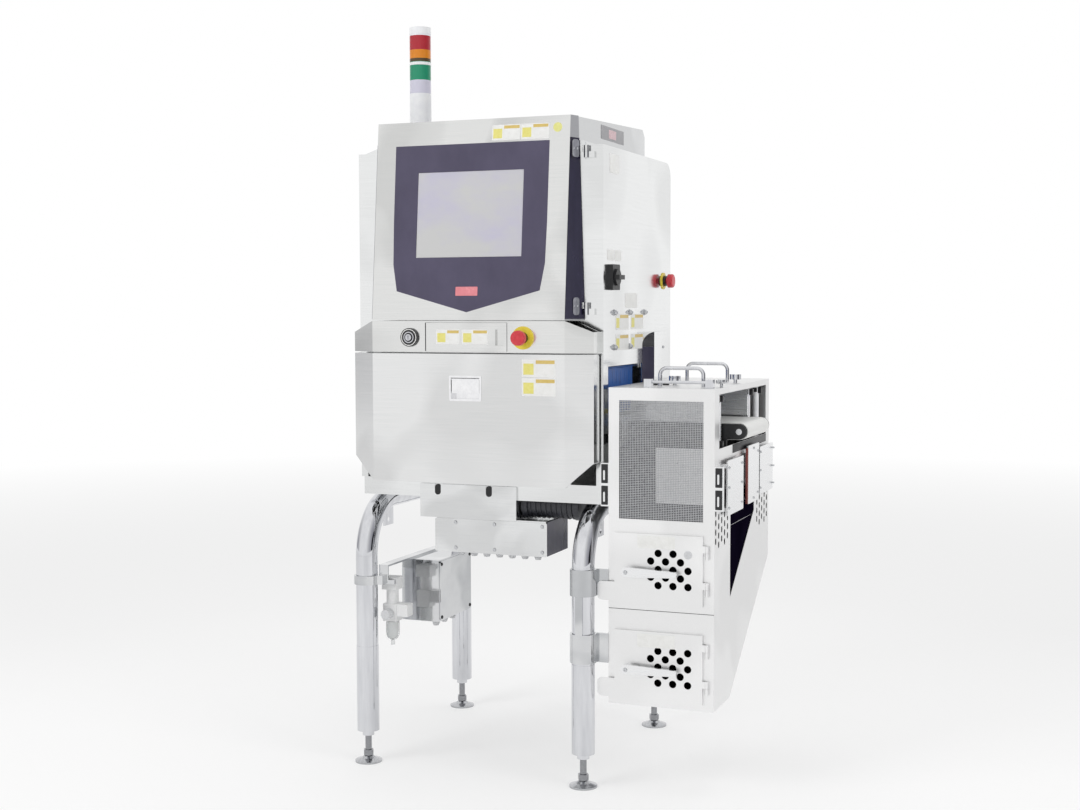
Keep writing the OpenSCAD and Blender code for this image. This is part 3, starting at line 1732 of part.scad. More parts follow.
module reject_conveyor_frame() {
  y0 = belt_y - side_out;
  y1 = belt_y + side_out;
  low = roller_z - roller_r;
  tail_x = reject_belt_x0 + belt_r;
  color(black) place() difference() {
    union() {
      for (y = [y0, y1 - plate_t]) {
        block([reject_belt_x0 + belt_t, y, low], [nose_x, y + plate_t, low + 2 * roller_r]);
        rod_y(roller_r, y, y + plate_t, nose_x, roller_z);
        block([reject_x0 + reject_wall, y, low - web_h], [reject_x1 - reject_wall, y + plate_t, low]);
      }
      block([tail_x + 2 * belt_r, y0 + plate_t, belt_z - belt_t - slider_t],
         [nose_x - 2 * belt_r, y1 - plate_t, belt_z - belt_t]);
    }
    for (x = [tail_x, nose_x]) rod_y(shaft_r + fit, y0 - over, y1 + over, x, roller_z);
  }
}

module reject_belt() {
  belt_loop(reject_belt_x0, nose_x + belt_r);
}

module reject_drive_roller() {
  roller(nose_x);
}

module reject_tail_roller() {
  roller(reject_belt_x0 + belt_r);
}

module gate_cylinders() {
  color(white) place() for (y = [front_cyl_a, front_cyl_b, rear_cyl_a, rear_cyl_b]) {
    difference() {
      rod_z(cyl_r, cyl_low, cyl_low + cyl_h, cyl_x, y);
      rod_z(rod_r + fit, cyl_low - over, cyl_low + cyl_h - cyl_head_h, cyl_x, y);
    }
    rod_z(cyl_r + over, cyl_low + cyl_h, cyl_low + cyl_h + cyl_head_h, cyl_x, y);
    block([cyl_x + cyl_r - over, y - cyl_r / 2, cyl_low],
       [reject_x1 - reject_wall, y + cyl_r / 2, cyl_low + cyl_block_h]);
  }
}

// A gate panel with a leg down to the rods of its two cylinders
module gate(y, rod_a, rod_b, foot_y0, foot_y1) {
  leg_x0 = cyl_x - gate_leg_w / 2;
  color(white) place() {
    block([gate_x0, y, gate_low], [gate_x1, y + gate_t, gate_high]);
    block([leg_x0, y, gate_foot_z], [leg_x0 + gate_leg_w, y + gate_t, gate_low]);
    block([leg_x0, foot_y0, gate_foot_z], [leg_x0 + gate_leg_w, foot_y1, gate_foot_z + gate_foot_t]);
    for (rod_y = [rod_a, rod_b])
      rod_z(rod_r, gate_foot_z + gate_foot_t, cyl_low + cyl_h / 2 + cyl_block_h, cyl_x, rod_y);
  }
}

module front_gate() {
  gate(gate_front_y, front_cyl_a, front_cyl_b, front_cyl_a - cyl_r, gate_front_y);
}

module rear_gate() {
  gate(gate_rear_y, rear_cyl_a, rear_cyl_b, gate_rear_y + gate_t, rear_cyl_b + cyl_r);
}

module sweep_paddle() {
  rod_z0 = reject_top - guide_drop;
  color(white) place() difference() {
    union() {
      block([paddle_x0, belt_y - paddle_t / 2, paddle_low],
         [paddle_x1, belt_y + paddle_t / 2, paddle_low + paddle_h]);
      block([guide_x - slider_w / 2, belt_y - slider_half, rod_z0 - slider_w / 2],
         [guide_x + slider_w / 2, belt_y + slider_half, rod_z0 + slider_w / 2]);
      block([guide_x - slider_w / 2, belt_y - paddle_t / 2, paddle_low],
         [guide_x + slider_w / 2, belt_y + paddle_t / 2, rod_z0]);
    }
    rod_y(guide_r + fit, belt_y - slider_half - over, belt_y + slider_half + over, guide_x, rod_z0);
  }
}

module side_plate(y0, y1, low, h) {
  x = reject_x1 + stand_off;
  along_x(x, x + side_plate_t) translate([y0, low]) rounded(y1 - y0, h, side_plate_t);
  for (y = [y0 + stand_off, y1 - 2 * stand_off], z = [low + stand_off, low + h - 2 * stand_off])
    block([reject_x1, y, z], [x, y + stand_off, z + stand_off]);
}

module outfeed_plates() {
  color(steel) place() {
    side_plate(plate_a_y0, plate_a_y1, plate_a_low, plate_a_h);
    side_plate(plate_b_y0, plate_b_y1, plate_b_low, plate_b_h);
    side_plate(plate_c_y0, plate_c_y1, plate_c_low, plate_c_h);
    for (x = [reject_x0 - corner_block_w, reject_x1])
      difference() {
        block([x, reject_y0, plate_a_low + corner_block_w],
           [x + corner_block_w, reject_y0 + corner_block_t,
            plate_a_low + corner_block_w + corner_block_h]);
        for (share = catch_shares) {
          low = plate_a_low + corner_block_w + share * corner_block_h;
          block([x + corner_block_w / 4, reject_y0 - over, low],
             [x + 3 * corner_block_w / 4, reject_y0 + corner_block_t / 2,
              low + catch_share * corner_block_h]);
        }
      }
  }
}

left_leg_frame();
right_leg_frame();
machine_bed();
foot_spindles();
foot_pads();
lower_cabinet();
tunnel_roof();
cabinet_shell();
cabinet_hood();
tower_column();
tower_lenses();
console_door();
console_bezel();
touch_screen();
hinge_brackets();
control_band();
band_cover();
switch_bodies();
key_barrel();
estop_front_head();
estop_side_head();
isolator_knob();
lower_door();
latch_frame();
latch_flap();
curtain_outfeed();
curtain_infeed();
xray_source();
line_detector();
control_computer();
conveyor_frame();
xray_belt();
drive_roller();
tail_roller();
drive_motor();
drive_cover();
terminal_box();
cable_glands();
valve_box();
air_regulator();
regulator_knob();
filter_bowl();
leg_clamps();
reject_housing();
window_mesh();
reject_lid();
lid_fittings();
bin_door_upper();
bin_door_lower();
bin_lever_upper();
bin_lever_lower();
reject_conveyor_frame();
reject_belt();
reject_drive_roller();
reject_tail_roller();
gate_cylinders();
front_gate();
rear_gate();
sweep_paddle();
outfeed_plates();
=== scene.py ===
"""Food x-ray inspection machine with its reject unit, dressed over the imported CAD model."""
import math

import bmesh
import bpy
from mathutils import Matrix, Vector


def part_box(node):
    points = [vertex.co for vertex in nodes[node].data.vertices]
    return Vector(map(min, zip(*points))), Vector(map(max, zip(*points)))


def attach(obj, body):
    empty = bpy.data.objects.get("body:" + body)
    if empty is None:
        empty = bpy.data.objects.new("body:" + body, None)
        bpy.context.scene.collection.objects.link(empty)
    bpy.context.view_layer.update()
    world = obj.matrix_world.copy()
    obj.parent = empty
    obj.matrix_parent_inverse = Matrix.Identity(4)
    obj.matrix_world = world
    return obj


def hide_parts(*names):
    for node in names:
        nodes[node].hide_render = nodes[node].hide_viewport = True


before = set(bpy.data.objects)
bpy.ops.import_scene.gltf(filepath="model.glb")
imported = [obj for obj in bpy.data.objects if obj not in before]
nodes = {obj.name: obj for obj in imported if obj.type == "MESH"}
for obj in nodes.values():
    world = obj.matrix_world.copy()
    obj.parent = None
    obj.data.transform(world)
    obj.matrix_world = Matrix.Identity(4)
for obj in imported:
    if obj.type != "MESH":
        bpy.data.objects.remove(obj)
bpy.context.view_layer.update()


# Places on the machine
# Every size below is in millimetres. A place is given from the point midway between the two
# front feet: x to the right, y to the rear and z up from the floor.
MM = 0.001
PAD_RADIUS = 37.5
feet_low, feet_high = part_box("foot_pads")
FEET_X = (feet_low.x + feet_high.x) / 2 / MM
FEET_Y = feet_low.y / MM + PAD_RADIUS


def at(x, y, z):
    """A place on the machine, in the model's own frame and still in millimetres."""
    return Vector((FEET_X + x, FEET_Y + y, z))


def corners(node):
    """Lowest and highest corner of a CAD node, measured from the front feet."""
    low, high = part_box(node)
    origin = Vector((FEET_X, FEET_Y, 0))
    return low / MM - origin, high / MM - origin


# Camera
# The photograph was taken from the right of the outfeed at chest height, with a long lens.
CAMERA_PLACE = (1663.35, -3733.66, 1270.0)
CAMERA_TURN = 21.413
CAMERA_TILT = 3.68
CAMERA_ROLL = -0.147
CAMERA_LENS = 50.715
SENSOR_WIDTH = 36
CAMERA_REACH = 100

camera_data = bpy.data.cameras.new("camera")
camera_data.lens = CAMERA_LENS
camera_data.sensor_width = SENSOR_WIDTH
camera_data.clip_end = CAMERA_REACH
camera = bpy.data.objects.new("camera", camera_data)
camera.location = at(*CAMERA_PLACE) * MM
turn = Matrix.Rotation(math.radians(CAMERA_TURN), 4, "Z")
tilt = Matrix.Rotation(math.radians(90 - CAMERA_TILT), 4, "X")
roll = Matrix.Rotation(math.radians(CAMERA_ROLL), 4, "Z")
camera.rotation_euler = (turn @ tilt @ roll).to_euler()
bpy.context.scene.collection.objects.link(camera)
bpy.context.scene.camera = camera
bpy.context.scene.view_settings.view_transform = "Standard"


# Studio
# A white sweep with large soft lamps. The floor is nearly white to the camera and keeps a
# faint shadow. The room falls off to the right, with a grey edge at the left and a dark one at
# the right, which shade the polished tubes.
WHITE = "#ffffff"
FLOOR_RADIUS = 14.0
FLOOR_SIDES = 96
SHADOW_SHARE = 0.5
SHADOW_NEAR = 2.5
SHADOW_FAR = 9.0
ROOM_LIGHT = 0.5
ROOM_SIDES = ((-1.0, "#96969c"), (-0.985, "#c4c4c8"), (-0.94, "#dcdcdc"), (-0.8, WHITE), (0.36, WHITE),
              (0.55, "#e6e6e6"), (0.75, "#c4c4c8"), (0.93, "#a4a4aa"), (0.962, "#2a2a30"), (1.0, "#26252b"))
LAMPS = (("key_lamp", (-2.6, -3.6, 3.6), (0.0, 0.0, 1.1), 2.4, 75),
         ("fill_lamp", (4.2, -1.6, 2.6), (0.2, 0.0, 1.0), 2.4, 45),
         ("top_lamp", (0.0, 0.6, 4.4), (0.0, 0.0, 0.0), 3.2, 50))


def linear(hex_colour):
    """An sRGB hex colour as the linear colour with alpha that the shaders take."""
    shares = [int(hex_colour[i:i + 2], 16) / 255 for i in (1, 3, 5)]
    return (*[c / 12.92 if c <= 0.04045 else ((c + 0.055) / 1.055) ** 2.4 for c in shares], 1.0)


def add(tree, kind, values=None, links=None, **settings):
    """Adds a node, sets its settings and input values, and links its inputs."""
    node = tree.nodes.new(kind)
    for name, value in settings.items():
        setattr(node, name, value)
    for name, value in (values or {}).items():
        node.inputs[name].default_value = value
    for name, source in (links or {}).items():
        tree.links.new(source, node.inputs[name])
    return node


world = bpy.data.worlds.new("white_studio")
world.use_nodes = True
bpy.context.scene.world = world
tree = world.node_tree
tree.nodes.clear()
path = add(tree, "ShaderNodeLightPath")
seen = add(tree, "ShaderNodeMath", {},
           {0: path.outputs["Is Camera Ray"], 1: path.outputs["Is Transmission Ray"]}, operation="MAXIMUM")
direction = add(tree, "ShaderNodeTexCoord")
across = add(tree, "ShaderNodeSeparateXYZ", {}, {0: direction.outputs["Generated"]})
side = add(tree, "ShaderNodeMapRange", {"From Min": -1.0, "From Max": 1.0}, {"Value": across.outputs["X"]})
room = add(tree, "ShaderNodeValToRGB", {}, {"Fac": side.outputs["Result"]})
for i, (share, tone) in enumerate(ROOM_SIDES):
    spot = (share + 1) / 2
    stop = room.color_ramp.elements[i] if i < 2 else room.color_ramp.elements.new(spot)
    stop.position = spot
    stop.color = linear(tone)
diffuse = add(tree, "ShaderNodeBackground", {"Color": linear(WHITE), "Strength": ROOM_LIGHT})
glossy = add(tree, "ShaderNodeBackground", {"Strength": 1.0}, {"Color": room.outputs["Color"]})
white = add(tree, "ShaderNodeBackground", {"Color": linear(WHITE), "Strength": 1.0})
mirrored = add(tree, "ShaderNodeMixShader", {},
               {0: path.outputs["Is Glossy Ray"], 1: diffuse.outputs[0], 2: glossy.outputs[0]})
shown = add(tree, "ShaderNodeMixShader", {},
            {0: seen.outputs[0], 1: mirrored.outputs[0], 2: white.outputs[0]})
add(tree, "ShaderNodeOutputWorld", {}, {"Surface": shown.outputs[0]})

sweep = bpy.data.materials.new("white_paper_sweep")
sweep.use_nodes = True
tree = sweep.node_tree
tree.nodes.clear()
path = add(tree, "ShaderNodeLightPath")
place = add(tree, "ShaderNodeTexCoord")
far = add(tree, "ShaderNodeVectorMath", {}, {0: place.outputs["Object"]}, operation="LENGTH")
fade = add(tree, "ShaderNodeMapRange",
           {"From Min": SHADOW_NEAR, "From Max": SHADOW_FAR, "To Min": SHADOW_SHARE, "To Max": 0.0},
           {"Value": far.outputs["Value"]})
paper = add(tree, "ShaderNodeBsdfDiffuse", {"Color": linear(WHITE)})
glow = add(tree, "ShaderNodeEmission", {"Color": linear(WHITE), "Strength": 1.0})
cast = add(tree, "ShaderNodeMixShader", {}, {0: fade.outputs[0], 1: glow.outputs[0], 2: paper.outputs[0]})
looks = add(tree, "ShaderNodeMath", {},
            {0: path.outputs["Is Camera Ray"], 1: path.outputs["Is Glossy Ray"]}, operation="MAXIMUM")
through = add(tree, "ShaderNodeMath", {},
              {0: looks.outputs[0], 1: path.outputs["Is Transmission Ray"]}, operation="MAXIMUM")
floor_mix = add(tree, "ShaderNodeMixShader", {},
                {0: through.outputs[0], 1: paper.outputs[0], 2: cast.outputs[0]})
add(tree, "ShaderNodeOutputMaterial", {}, {"Surface": floor_mix.outputs[0]})

bm = bmesh.new()
bmesh.ops.create_circle(bm, cap_ends=True, segments=FLOOR_SIDES, radius=FLOOR_RADIUS)
floor_mesh = bpy.data.meshes.new("floor")
bm.to_mesh(floor_mesh)
bm.free()
floor_mesh.materials.append(sweep)
floor = bpy.data.objects.new("floor", floor_mesh)
bpy.context.scene.collection.objects.link(floor)


# Square soft boxes face the machine and aren't mirrored in its steel
for name, spot, aim, size, power in LAMPS:
    data = bpy.data.lights.new(name, "AREA")
    data.shape = "SQUARE"
    data.size = size
    data.energy = power
    lamp = bpy.data.objects.new(name, data)
    lamp.location = spot
    lamp.rotation_euler = (Vector(aim) - Vector(spot)).to_track_quat("-Z", "Y").to_euler()
    lamp.visible_camera = False
    lamp.visible_glossy = False
    bpy.context.scene.collection.objects.link(lamp)


# Stand
# Two bent tubes of polished stainless steel with sleeves at their feet, on levelling
# spindles. Electropolished tube mirrors the room, with only a faint draw along its length.
TONE_SHARES = (0.35, 0.65)
PAINTED_CLOUD_SHARES = (0.44, 0.56)
GLOSS_SHARES = (0.3, 0.7)


def two_tones(tree, noise, shares, colours):
    """A noise as two tones that meet between two shares of its range."""
    ramp = add(tree, "ShaderNodeValToRGB", {}, {"Fac": noise.outputs["Fac"]})
    for stop, share, tone in zip(ramp.color_ramp.elements, shares, colours):
        stop.position = share
        stop.color = linear(tone)
    return ramp.outputs["Color"]


def finish(name, colours, patch, roughness, metallic=0.0, depth=0.0, painted_cloud=None, **values):
    """A finish whose tone, gloss and relief follow one noise with patches of that size in millimetres.

    A painted cloud darkens it in broad soft patches: painted reflection that stands in for the drifting
    mirroring of a sheet that isn't quite flat. It is given as the size in millimetres and the darker tone."""
    material = bpy.data.materials.new(name)
    material.use_nodes = True
    tree = material.node_tree
    shader = tree.nodes["Principled BSDF"]
    shader.inputs["Metallic"].default_value = metallic
    for socket, value in values.items():
        shader.inputs[socket.replace("_", " ")].default_value = value
    place = add(tree, "ShaderNodeTexCoord")
    sized = add(tree, "ShaderNodeMapping", {"Scale": [1 / (length * MM) for length in patch]},
                {"Vector": place.outputs["Object"]})
    noise = add(tree, "ShaderNodeTexNoise", {"Scale": 1.0, "Detail": 4.0, "Roughness": 0.6},
                {"Vector": sized.outputs["Vector"]})
    coloured = two_tones(tree, noise, TONE_SHARES, colours)
    # Painted reflection: a broad soft noise darkens the colour where the sheet's mirroring would drift
    if painted_cloud:
        size, shade_hex = painted_cloud
        painted_cloud_noise = add(tree, "ShaderNodeTexNoise", {"Scale": 1 / (size * MM), "Detail": 1.0, "Distortion": 0.8},
                    {"Vector": place.outputs["Object"]})
        shade = two_tones(tree, painted_cloud_noise, PAINTED_CLOUD_SHARES, (shade_hex, WHITE))
        painted_cloud_mix = add(tree, "ShaderNodeMix", {0: 1.0}, {6: coloured, 7: shade}, data_type="RGBA",
                     blend_type="MULTIPLY")
        coloured = painted_cloud_mix.outputs[2]
    tree.links.new(coloured, shader.inputs["Base Color"])
    gloss = add(tree, "ShaderNodeMapRange",
                {"From Min": GLOSS_SHARES[0], "From Max": GLOSS_SHARES[1],
                 "To Min": roughness[0], "To Max": roughness[1]}, {"Value": noise.outputs["Fac"]})
    tree.links.new(gloss.outputs["Result"], shader.inputs["Roughness"])
    if depth:
        relief = add(tree, "ShaderNodeBump", {"Strength": 1.0, "Distance": depth * MM},
                     {"Height": noise.outputs["Fac"]})
        tree.links.new(relief.outputs["Normal"], shader.inputs["Normal"])
    return material


def dress(material, *names):
    """Gives CAD nodes their finish."""
    for name in names:
        for slot in nodes[name].material_slots:
            slot.material = material


# Drawn tube: streaks along the length, much longer than wide, so the tone barely changes
polished_tube = finish("polished_stainless_tube", ("#cdced2", "#dcdde0"), (25, 25, 220), (0.04, 0.08),
                       1.0, 0.002)
# The marks of turning are about 0.1 mm apart and are drawn as level bands 0.8 mm apart
TURNED = (6, 6, 0.8)
turned_steel = finish("turned_stainless_steel", ("#c4c6c9", "#dedfe1"), TURNED, (0.12, 0.2), 1.0, 0.003)
spindle_steel = finish("threaded_spindle_steel", ("#85868a", "#a5a6a9"), TURNED, (0.16, 0.26), 1.0, 0.003)
pad_steel = finish("turned_foot_steel", ("#a9aaad", "#c6c7ca"), TURNED, (0.12, 0.2), 1.0, 0.003)
dress(polished_tube, "left_leg_frame", "right_leg_frame")
dress(spindle_steel, "foot_spindles")
dress(pad_steel, "foot_pads")


# Cabinet sheet
# Folded stainless sheet with a level brushed grain. The real grain is about 0.2 mm wide and
# is drawn at 1.6 mm so that it shows. Broad soft darker clouds in its colour are painted
# reflection, for the drifting mirroring of a sheet that isn't quite flat. The door's copy of
# this sheet is a shade darker: painted light and shade, lighter for the lit right side.
GRAIN = 1.6
GRAIN_DEPTH = 0.0008
brushed_sheet = finish("brushed_stainless_sheet", ("#e6e7e7", "#ebecec"), (150, 150, GRAIN), (0.12, 0.17),
                       1.0, GRAIN_DEPTH, (420, "#f3f3f3"))
# The hood and boxes carry the same painted reflection clouds in their colour
hood_sheet = finish("brushed_stainless_hood", ("#d6d7d8", "#dcddde"), (150, 150, GRAIN), (0.14, 0.2),
                    1.0, GRAIN_DEPTH, (260, "#eeeeee"))
box_sheet = finish("satin_stainless_box", ("#dedfe0", "#e5e6e6"), (120, 120, GRAIN), (0.16, 0.22),
                   1.0, GRAIN_DEPTH, (200, "#f0f0f0"))
# Bright annealed sheet mirrors more sharply, in broad patches of two tones. Its broader darker clouds are
# painted reflection
bright_box = finish("bright_annealed_box", ("#cdced0", "#d6d7d8"), (90, 90, 60), (0.05, 0.1), 1.0, 0.0,
                    (160, "#e6e7e8"))
dress(brushed_sheet, "machine_bed", "lower_cabinet", "tunnel_roof", "cabinet_shell", "hinge_brackets",
      "conveyor_frame", "xray_source", "control_computer")
dress(hood_sheet, "cabinet_hood")
dress(box_sheet, "drive_cover", "terminal_box")
dress(bright_box, "valve_box", "leg_clamps")


def facing(point, towards):
    """Stands local Z on a point, looking along a direction, with local Y up."""
    return Matrix.Translation(point) @ Vector(towards).to_track_quat("Z", "Y").to_matrix().to_4x4()


FRONT = (0, -1, 0)
RIGHT = (1, 0, 0)
UP = (0, 0, 1)
SHARP_EDGE = 0.6
ROUND_STEPS = 4


def soften(bm, made, edge, segments=2):
    """Bevels the edges of a shape that was just made."""
    edges = {e for v in made["verts"] for e in v.link_edges if e.calc_face_angle(0) > SHARP_EDGE}
    bmesh.ops.bevel(bm, geom=list(edges), offset=edge, offset_type="OFFSET", affect="EDGES",
                    segments=segments, profile=0.5, material=-1)


def add_block(bm, place, low, high, edge=0.4):
    """A block between two corners in a local place."""
    low = Vector(low)
    high = Vector(high)
    matrix = place @ Matrix.LocRotScale((low + high) / 2, None, high - low)
    made = bmesh.ops.create_cube(bm, size=1, matrix=matrix)
    soften(bm, made, edge)


def add_rod(bm, place, r, z0, z1, r_end=None, edge=0.3, sides=24):
    """A rod or cone along local Z."""
    matrix = place @ Matrix.Translation((0, 0, (z0 + z1) / 2))
    made = bmesh.ops.create_cone(bm, cap_ends=True, segments=sides, radius1=r,
                                 radius2=r if r_end is None else r_end, depth=z1 - z0, matrix=matrix)
    if edge:
        soften(bm, made, edge)


def add_ring(bm, place, r_in, r_out, z0, z1, sides=48):
    """A flat ring about local Z, spun from its section."""
    section = [(r_in, z0), (r_out, z0), (r_out, z1), (r_in, z1)]
    verts = [bm.verts.new(place @ Vector((r, 0, z))) for r, z in section]
    edges = [bm.edges.new((verts[i], verts[(i + 1) % 4])) for i in range(4)]
    axis = place.to_3x3() @ Vector(UP)
    bmesh.ops.spin(bm, geom=verts + edges, cent=place.translation, axis=axis, angle=math.tau, steps=sides,
                   use_merge=True)
    bmesh.ops.remove_doubles(bm, verts=bm.verts, dist=0.0005)


def add_plate(bm, place, w, h, t, corner=2.0, centre=(0, 0)):
    """A thin plate with round corners, lying on local z = 0."""
    matrix = place @ Matrix.LocRotScale((centre[0], centre[1], t / 2), None, (w, h, t))
    made = bmesh.ops.create_cube(bm, size=1, matrix=matrix)
    normal = (place.to_3x3() @ Vector(UP)).normalized()
    posts = {e for v in made["verts"] for e in v.link_edges
             if abs((e.verts[0].co - e.verts[1].co).normalized().dot(normal)) > 0.9}
    bmesh.ops.bevel(bm, geom=list(posts), offset=corner, offset_type="OFFSET", affect="EDGES",
                    segments=ROUND_STEPS, profile=0.5, material=-1)


def add_screw(bm, place, r, h):
    """A button-head screw on local z = 0, with the dimple of its socket."""
    crown_share = 0.78
    rim_share = 0.36
    socket_share = 0.6
    made = bmesh.ops.create_cone(bm, cap_ends=True, segments=20, radius1=r, radius2=r * crown_share, depth=h,
                                 matrix=place @ Matrix.Translation((0, 0, h / 2)))
    top = place @ Vector((0, 0, h))
    faces = {f for v in made["verts"] for f in v.link_faces}
    face = min(faces, key=lambda f: (f.calc_center_median() - top).length)
    bmesh.ops.inset_region(bm, faces=[face], thickness=r * rim_share, use_even_offset=True)
    down = (place.to_3x3() @ Vector(UP)) * -h * socket_share
    pit = bmesh.ops.extrude_discrete_faces(bm, faces=[face])
    verts = list({v for f in pit["faces"] for v in f.verts})
    bmesh.ops.translate(bm, verts=verts, vec=down)


def thicken(bm, outline, step):
    """A closed outline as a face, drawn out by a step into a sheet."""
    face = bm.faces.new([bm.verts.new(point) for point in outline])
    grown = bmesh.ops.extrude_face_region(bm, geom=[face])
    moved = [v for v in grown["geom"] if isinstance(v, bmesh.types.BMVert)]
    bmesh.ops.translate(bm, verts=moved, vec=step)


def piece(name, bm, material, body="machine", sharp=35):
    """Makes a finished piece of a mesh in millimetres. It rides on its body."""
    bmesh.ops.recalc_face_normals(bm, faces=bm.faces)
    bmesh.ops.scale(bm, vec=(MM, MM, MM), verts=bm.verts)
    mesh = bpy.data.meshes.new(name)
    bm.to_mesh(mesh)
    bm.free()
    mesh.materials.append(material)
    mesh.shade_smooth()
    mesh.set_sharp_from_angle(angle=math.radians(sharp))
    obj = bpy.data.objects.new(name, mesh)
    bpy.context.scene.collection.objects.link(obj)
    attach(obj, body)
    return obj


# Right side of the cabinet
# Six stainless studs with domed nuts clamp the tunnel's shielding, and plain white plates
# stand where such a machine has its data and care plates.
STUD_Y = (139, 270, 404)
STUD_Z = (1255, 1162)
CARE_PLATES = ((151, 262, 1208, 1251), (283, 394, 1208, 1251), (151, 262, 1153, 1196),
               (283, 394, 1153, 1196))
DATA_PLATES = ((101, 180, 1624, 1675), (81, 136, 1393, 1422), (142, 197, 1393, 1422),
               (232, 339, 1267, 1308))
PLATE_T = 0.4
PRINT_T = 0.1
AREA_SHARE = 0.62
AREA_SHARES = (0.4, -0.06)
BAR_SHARES = (0.9, 0.2)
BAR_PLACE_SHARES = (0.39, 0.34)

plate_print = finish("white_printed_polyester_plate", ("#eeeeeb", "#f5f5f3"), (12, 12, 12), (0.35, 0.45),
                     0.0, 0.002)
yellow_print = finish("pale_yellow_print", ("#e9e07c", "#efe78e"), (8, 8, 8), (0.35, 0.45), 0.0, 0.001)
tan_print = finish("tan_print", ("#d9bd6c", "#e0c67c"), (8, 8, 8), (0.35, 0.45), 0.0, 0.001)
screw_steel = finish("machined_screw_steel", ("#b9bbbe", "#d8d9db"), (3, 3, 3), (0.18, 0.3), 1.0, 0.003)
shell_high = corners("cabinet_shell")[1]


def add_plates(name, spots, body="machine"):
    """White plates with a plain yellow area and a plain tan bar, where labels would be."""
    sheets = bmesh.new()
    areas = bmesh.new()
    bars = bmesh.new()
    for spot, w, h in spots:
        add_plate(sheets, spot, w, h, PLATE_T, 2)
        raised = spot @ Matrix.Translation((0, 0, PLATE_T))
        add_plate(areas, raised, h * AREA_SHARE, h * AREA_SHARE, PRINT_T, 0.5,
                  (h * AREA_SHARES[0] - w / 2, h * AREA_SHARES[1]))
        add_plate(bars, raised, w - h * BAR_SHARES[0], h * BAR_SHARES[1], PRINT_T, 0.5,
                  (h * BAR_PLACE_SHARES[0], h * BAR_PLACE_SHARES[1]))
    piece(f"{name}_plain_plates", sheets, plate_print, body)
    piece(f"{name}_yellow_areas", areas, yellow_print, body)
    piece(f"{name}_tan_bars", bars, tan_print, body)


add_plates("side", [(facing(at(shell_high.x, (y0 + y1) / 2, (z0 + z1) / 2), RIGHT), y1 - y0, z1 - z0)
                    for y0, y1, z0, z1 in CARE_PLATES])
bm = bmesh.new()
for y0, y1, z0, z1 in DATA_PLATES:
    spot = facing(at(shell_high.x, (y0 + y1) / 2, (z0 + z1) / 2), RIGHT)
    add_plate(bm, spot, y1 - y0, z1 - z0, PLATE_T, 3)
piece("side_plain_plates_small", bm, plate_print)

# A grey window on the hood's side, with a plain pink area
HOOD_WINDOW = (230, 426, 1729, 1767)
WINDOW_T = 0.6
PINK_SIZE = (62, 24)
hood_high = corners("cabinet_hood")[1]
window_grey = finish("grey_tinted_acrylic", ("#8d8c90", "#98979b"), (60, 60, 60), (0.12, 0.2), 0.0, 0.0)
lamp_pink = finish("plain_pink_lamp_window", ("#e58890", "#ec959c"), (30, 30, 30), (0.2, 0.3), 0.0)
pale_pink = finish("plain_pale_pink_area", ("#d9b4ba", "#dfbdc2"), (20, 20, 20), (0.2, 0.3), 0.0)
y0, y1, z0, z1 = HOOD_WINDOW
window_spot = facing(at(hood_high.x, (y0 + y1) / 2, (z0 + z1) / 2), RIGHT)
bm = bmesh.new()
add_plate(bm, window_spot, y1 - y0, z1 - z0, WINDOW_T, 2)
piece("hood_side_window", bm, window_grey)
bm = bmesh.new()
add_plate(bm, window_spot @ Matrix.Translation((0, 0, WINDOW_T)), *PINK_SIZE, PRINT_T, 1, (-2, 0))
piece("hood_side_pink_area", bm, pale_pink)

# The shroud's slanting front is dark, and one screw holds its outer side
SHROUD_FRONT = 385
SHROUD_SLANT = 37
SHROUD_OUT = 25
SHROUD_LOW = 968
SHROUD_HIGH = 1157
SHROUD_SCREW = (510, 1154)
shroud_dark = finish("dark_tinted_guard_sheet", ("#3f3d50", "#4d4a5c"), (60, 60, 220), (0.15, 0.25))
slant = Vector((SHROUD_SLANT, -SHROUD_OUT, 0)).normalized()
middle = at(shell_high.x + SHROUD_OUT / 2, SHROUD_FRONT + SHROUD_SLANT / 2, (SHROUD_LOW + SHROUD_HIGH) / 2)
spot = facing(middle, slant)
bm = bmesh.new()
add_plate(bm, spot, math.hypot(SHROUD_OUT, SHROUD_SLANT) - 2, SHROUD_HIGH - SHROUD_LOW, 0.5, 1)
piece("shroud_dark_front", bm, shroud_dark)
bm = bmesh.new()
add_screw(bm, facing(at(shell_high.x + SHROUD_OUT, *SHROUD_SCREW), RIGHT), 5, 2.4)
piece("shroud_screw", bm, screw_steel)

# Each stud's nut, as radius and height above the sheet of its washer, hexagon and dome
WASHER_R, WASHER_TOP = 9, 1.5
HEXAGON_R, HEXAGON_TOP = 7.2, 7
DOME_R, DOME_TOP = 5.4, 11
bm = bmesh.new()
for y in STUD_Y:
    for z in STUD_Z:
        spot = facing(at(shell_high.x, y, z), RIGHT)
        add_rod(bm, spot, WASHER_R, 0, WASHER_TOP, edge=0.4)
        add_rod(bm, spot, HEXAGON_R, WASHER_TOP, HEXAGON_TOP, edge=0.6, sides=6)
        add_rod(bm, spot, DOME_R, HEXAGON_TOP, DOME_TOP, r_end=2.5, edge=0.8)
piece("side_stud_nuts", bm, screw_steel)


# Signal tower
# Four moulded lens tiers stacked over a white base, with a ring between the two pairs. Fine
# level ribs in each lens spread the light.
TOWER_LOW = 1850
TOWER_HIGH = 2100
RIB = 2.4
RIB_DEPTH = 0.4
TIER_TONES = ((1901, "#d6d4e4"), (1952, "#12906a"), (1960.5, "#4e3c1c"), (1984, "#e0860c"),
              (2023, "#b01c2c"), (TOWER_HIGH, "#f2f2f6"))
tower_plastic = finish("moulded_white_abs", ("#eeeff2", "#f6f7f8"), (20, 20, 20), (0.3, 0.4), 0.0, 0.002)
dress(tower_plastic, "tower_column")

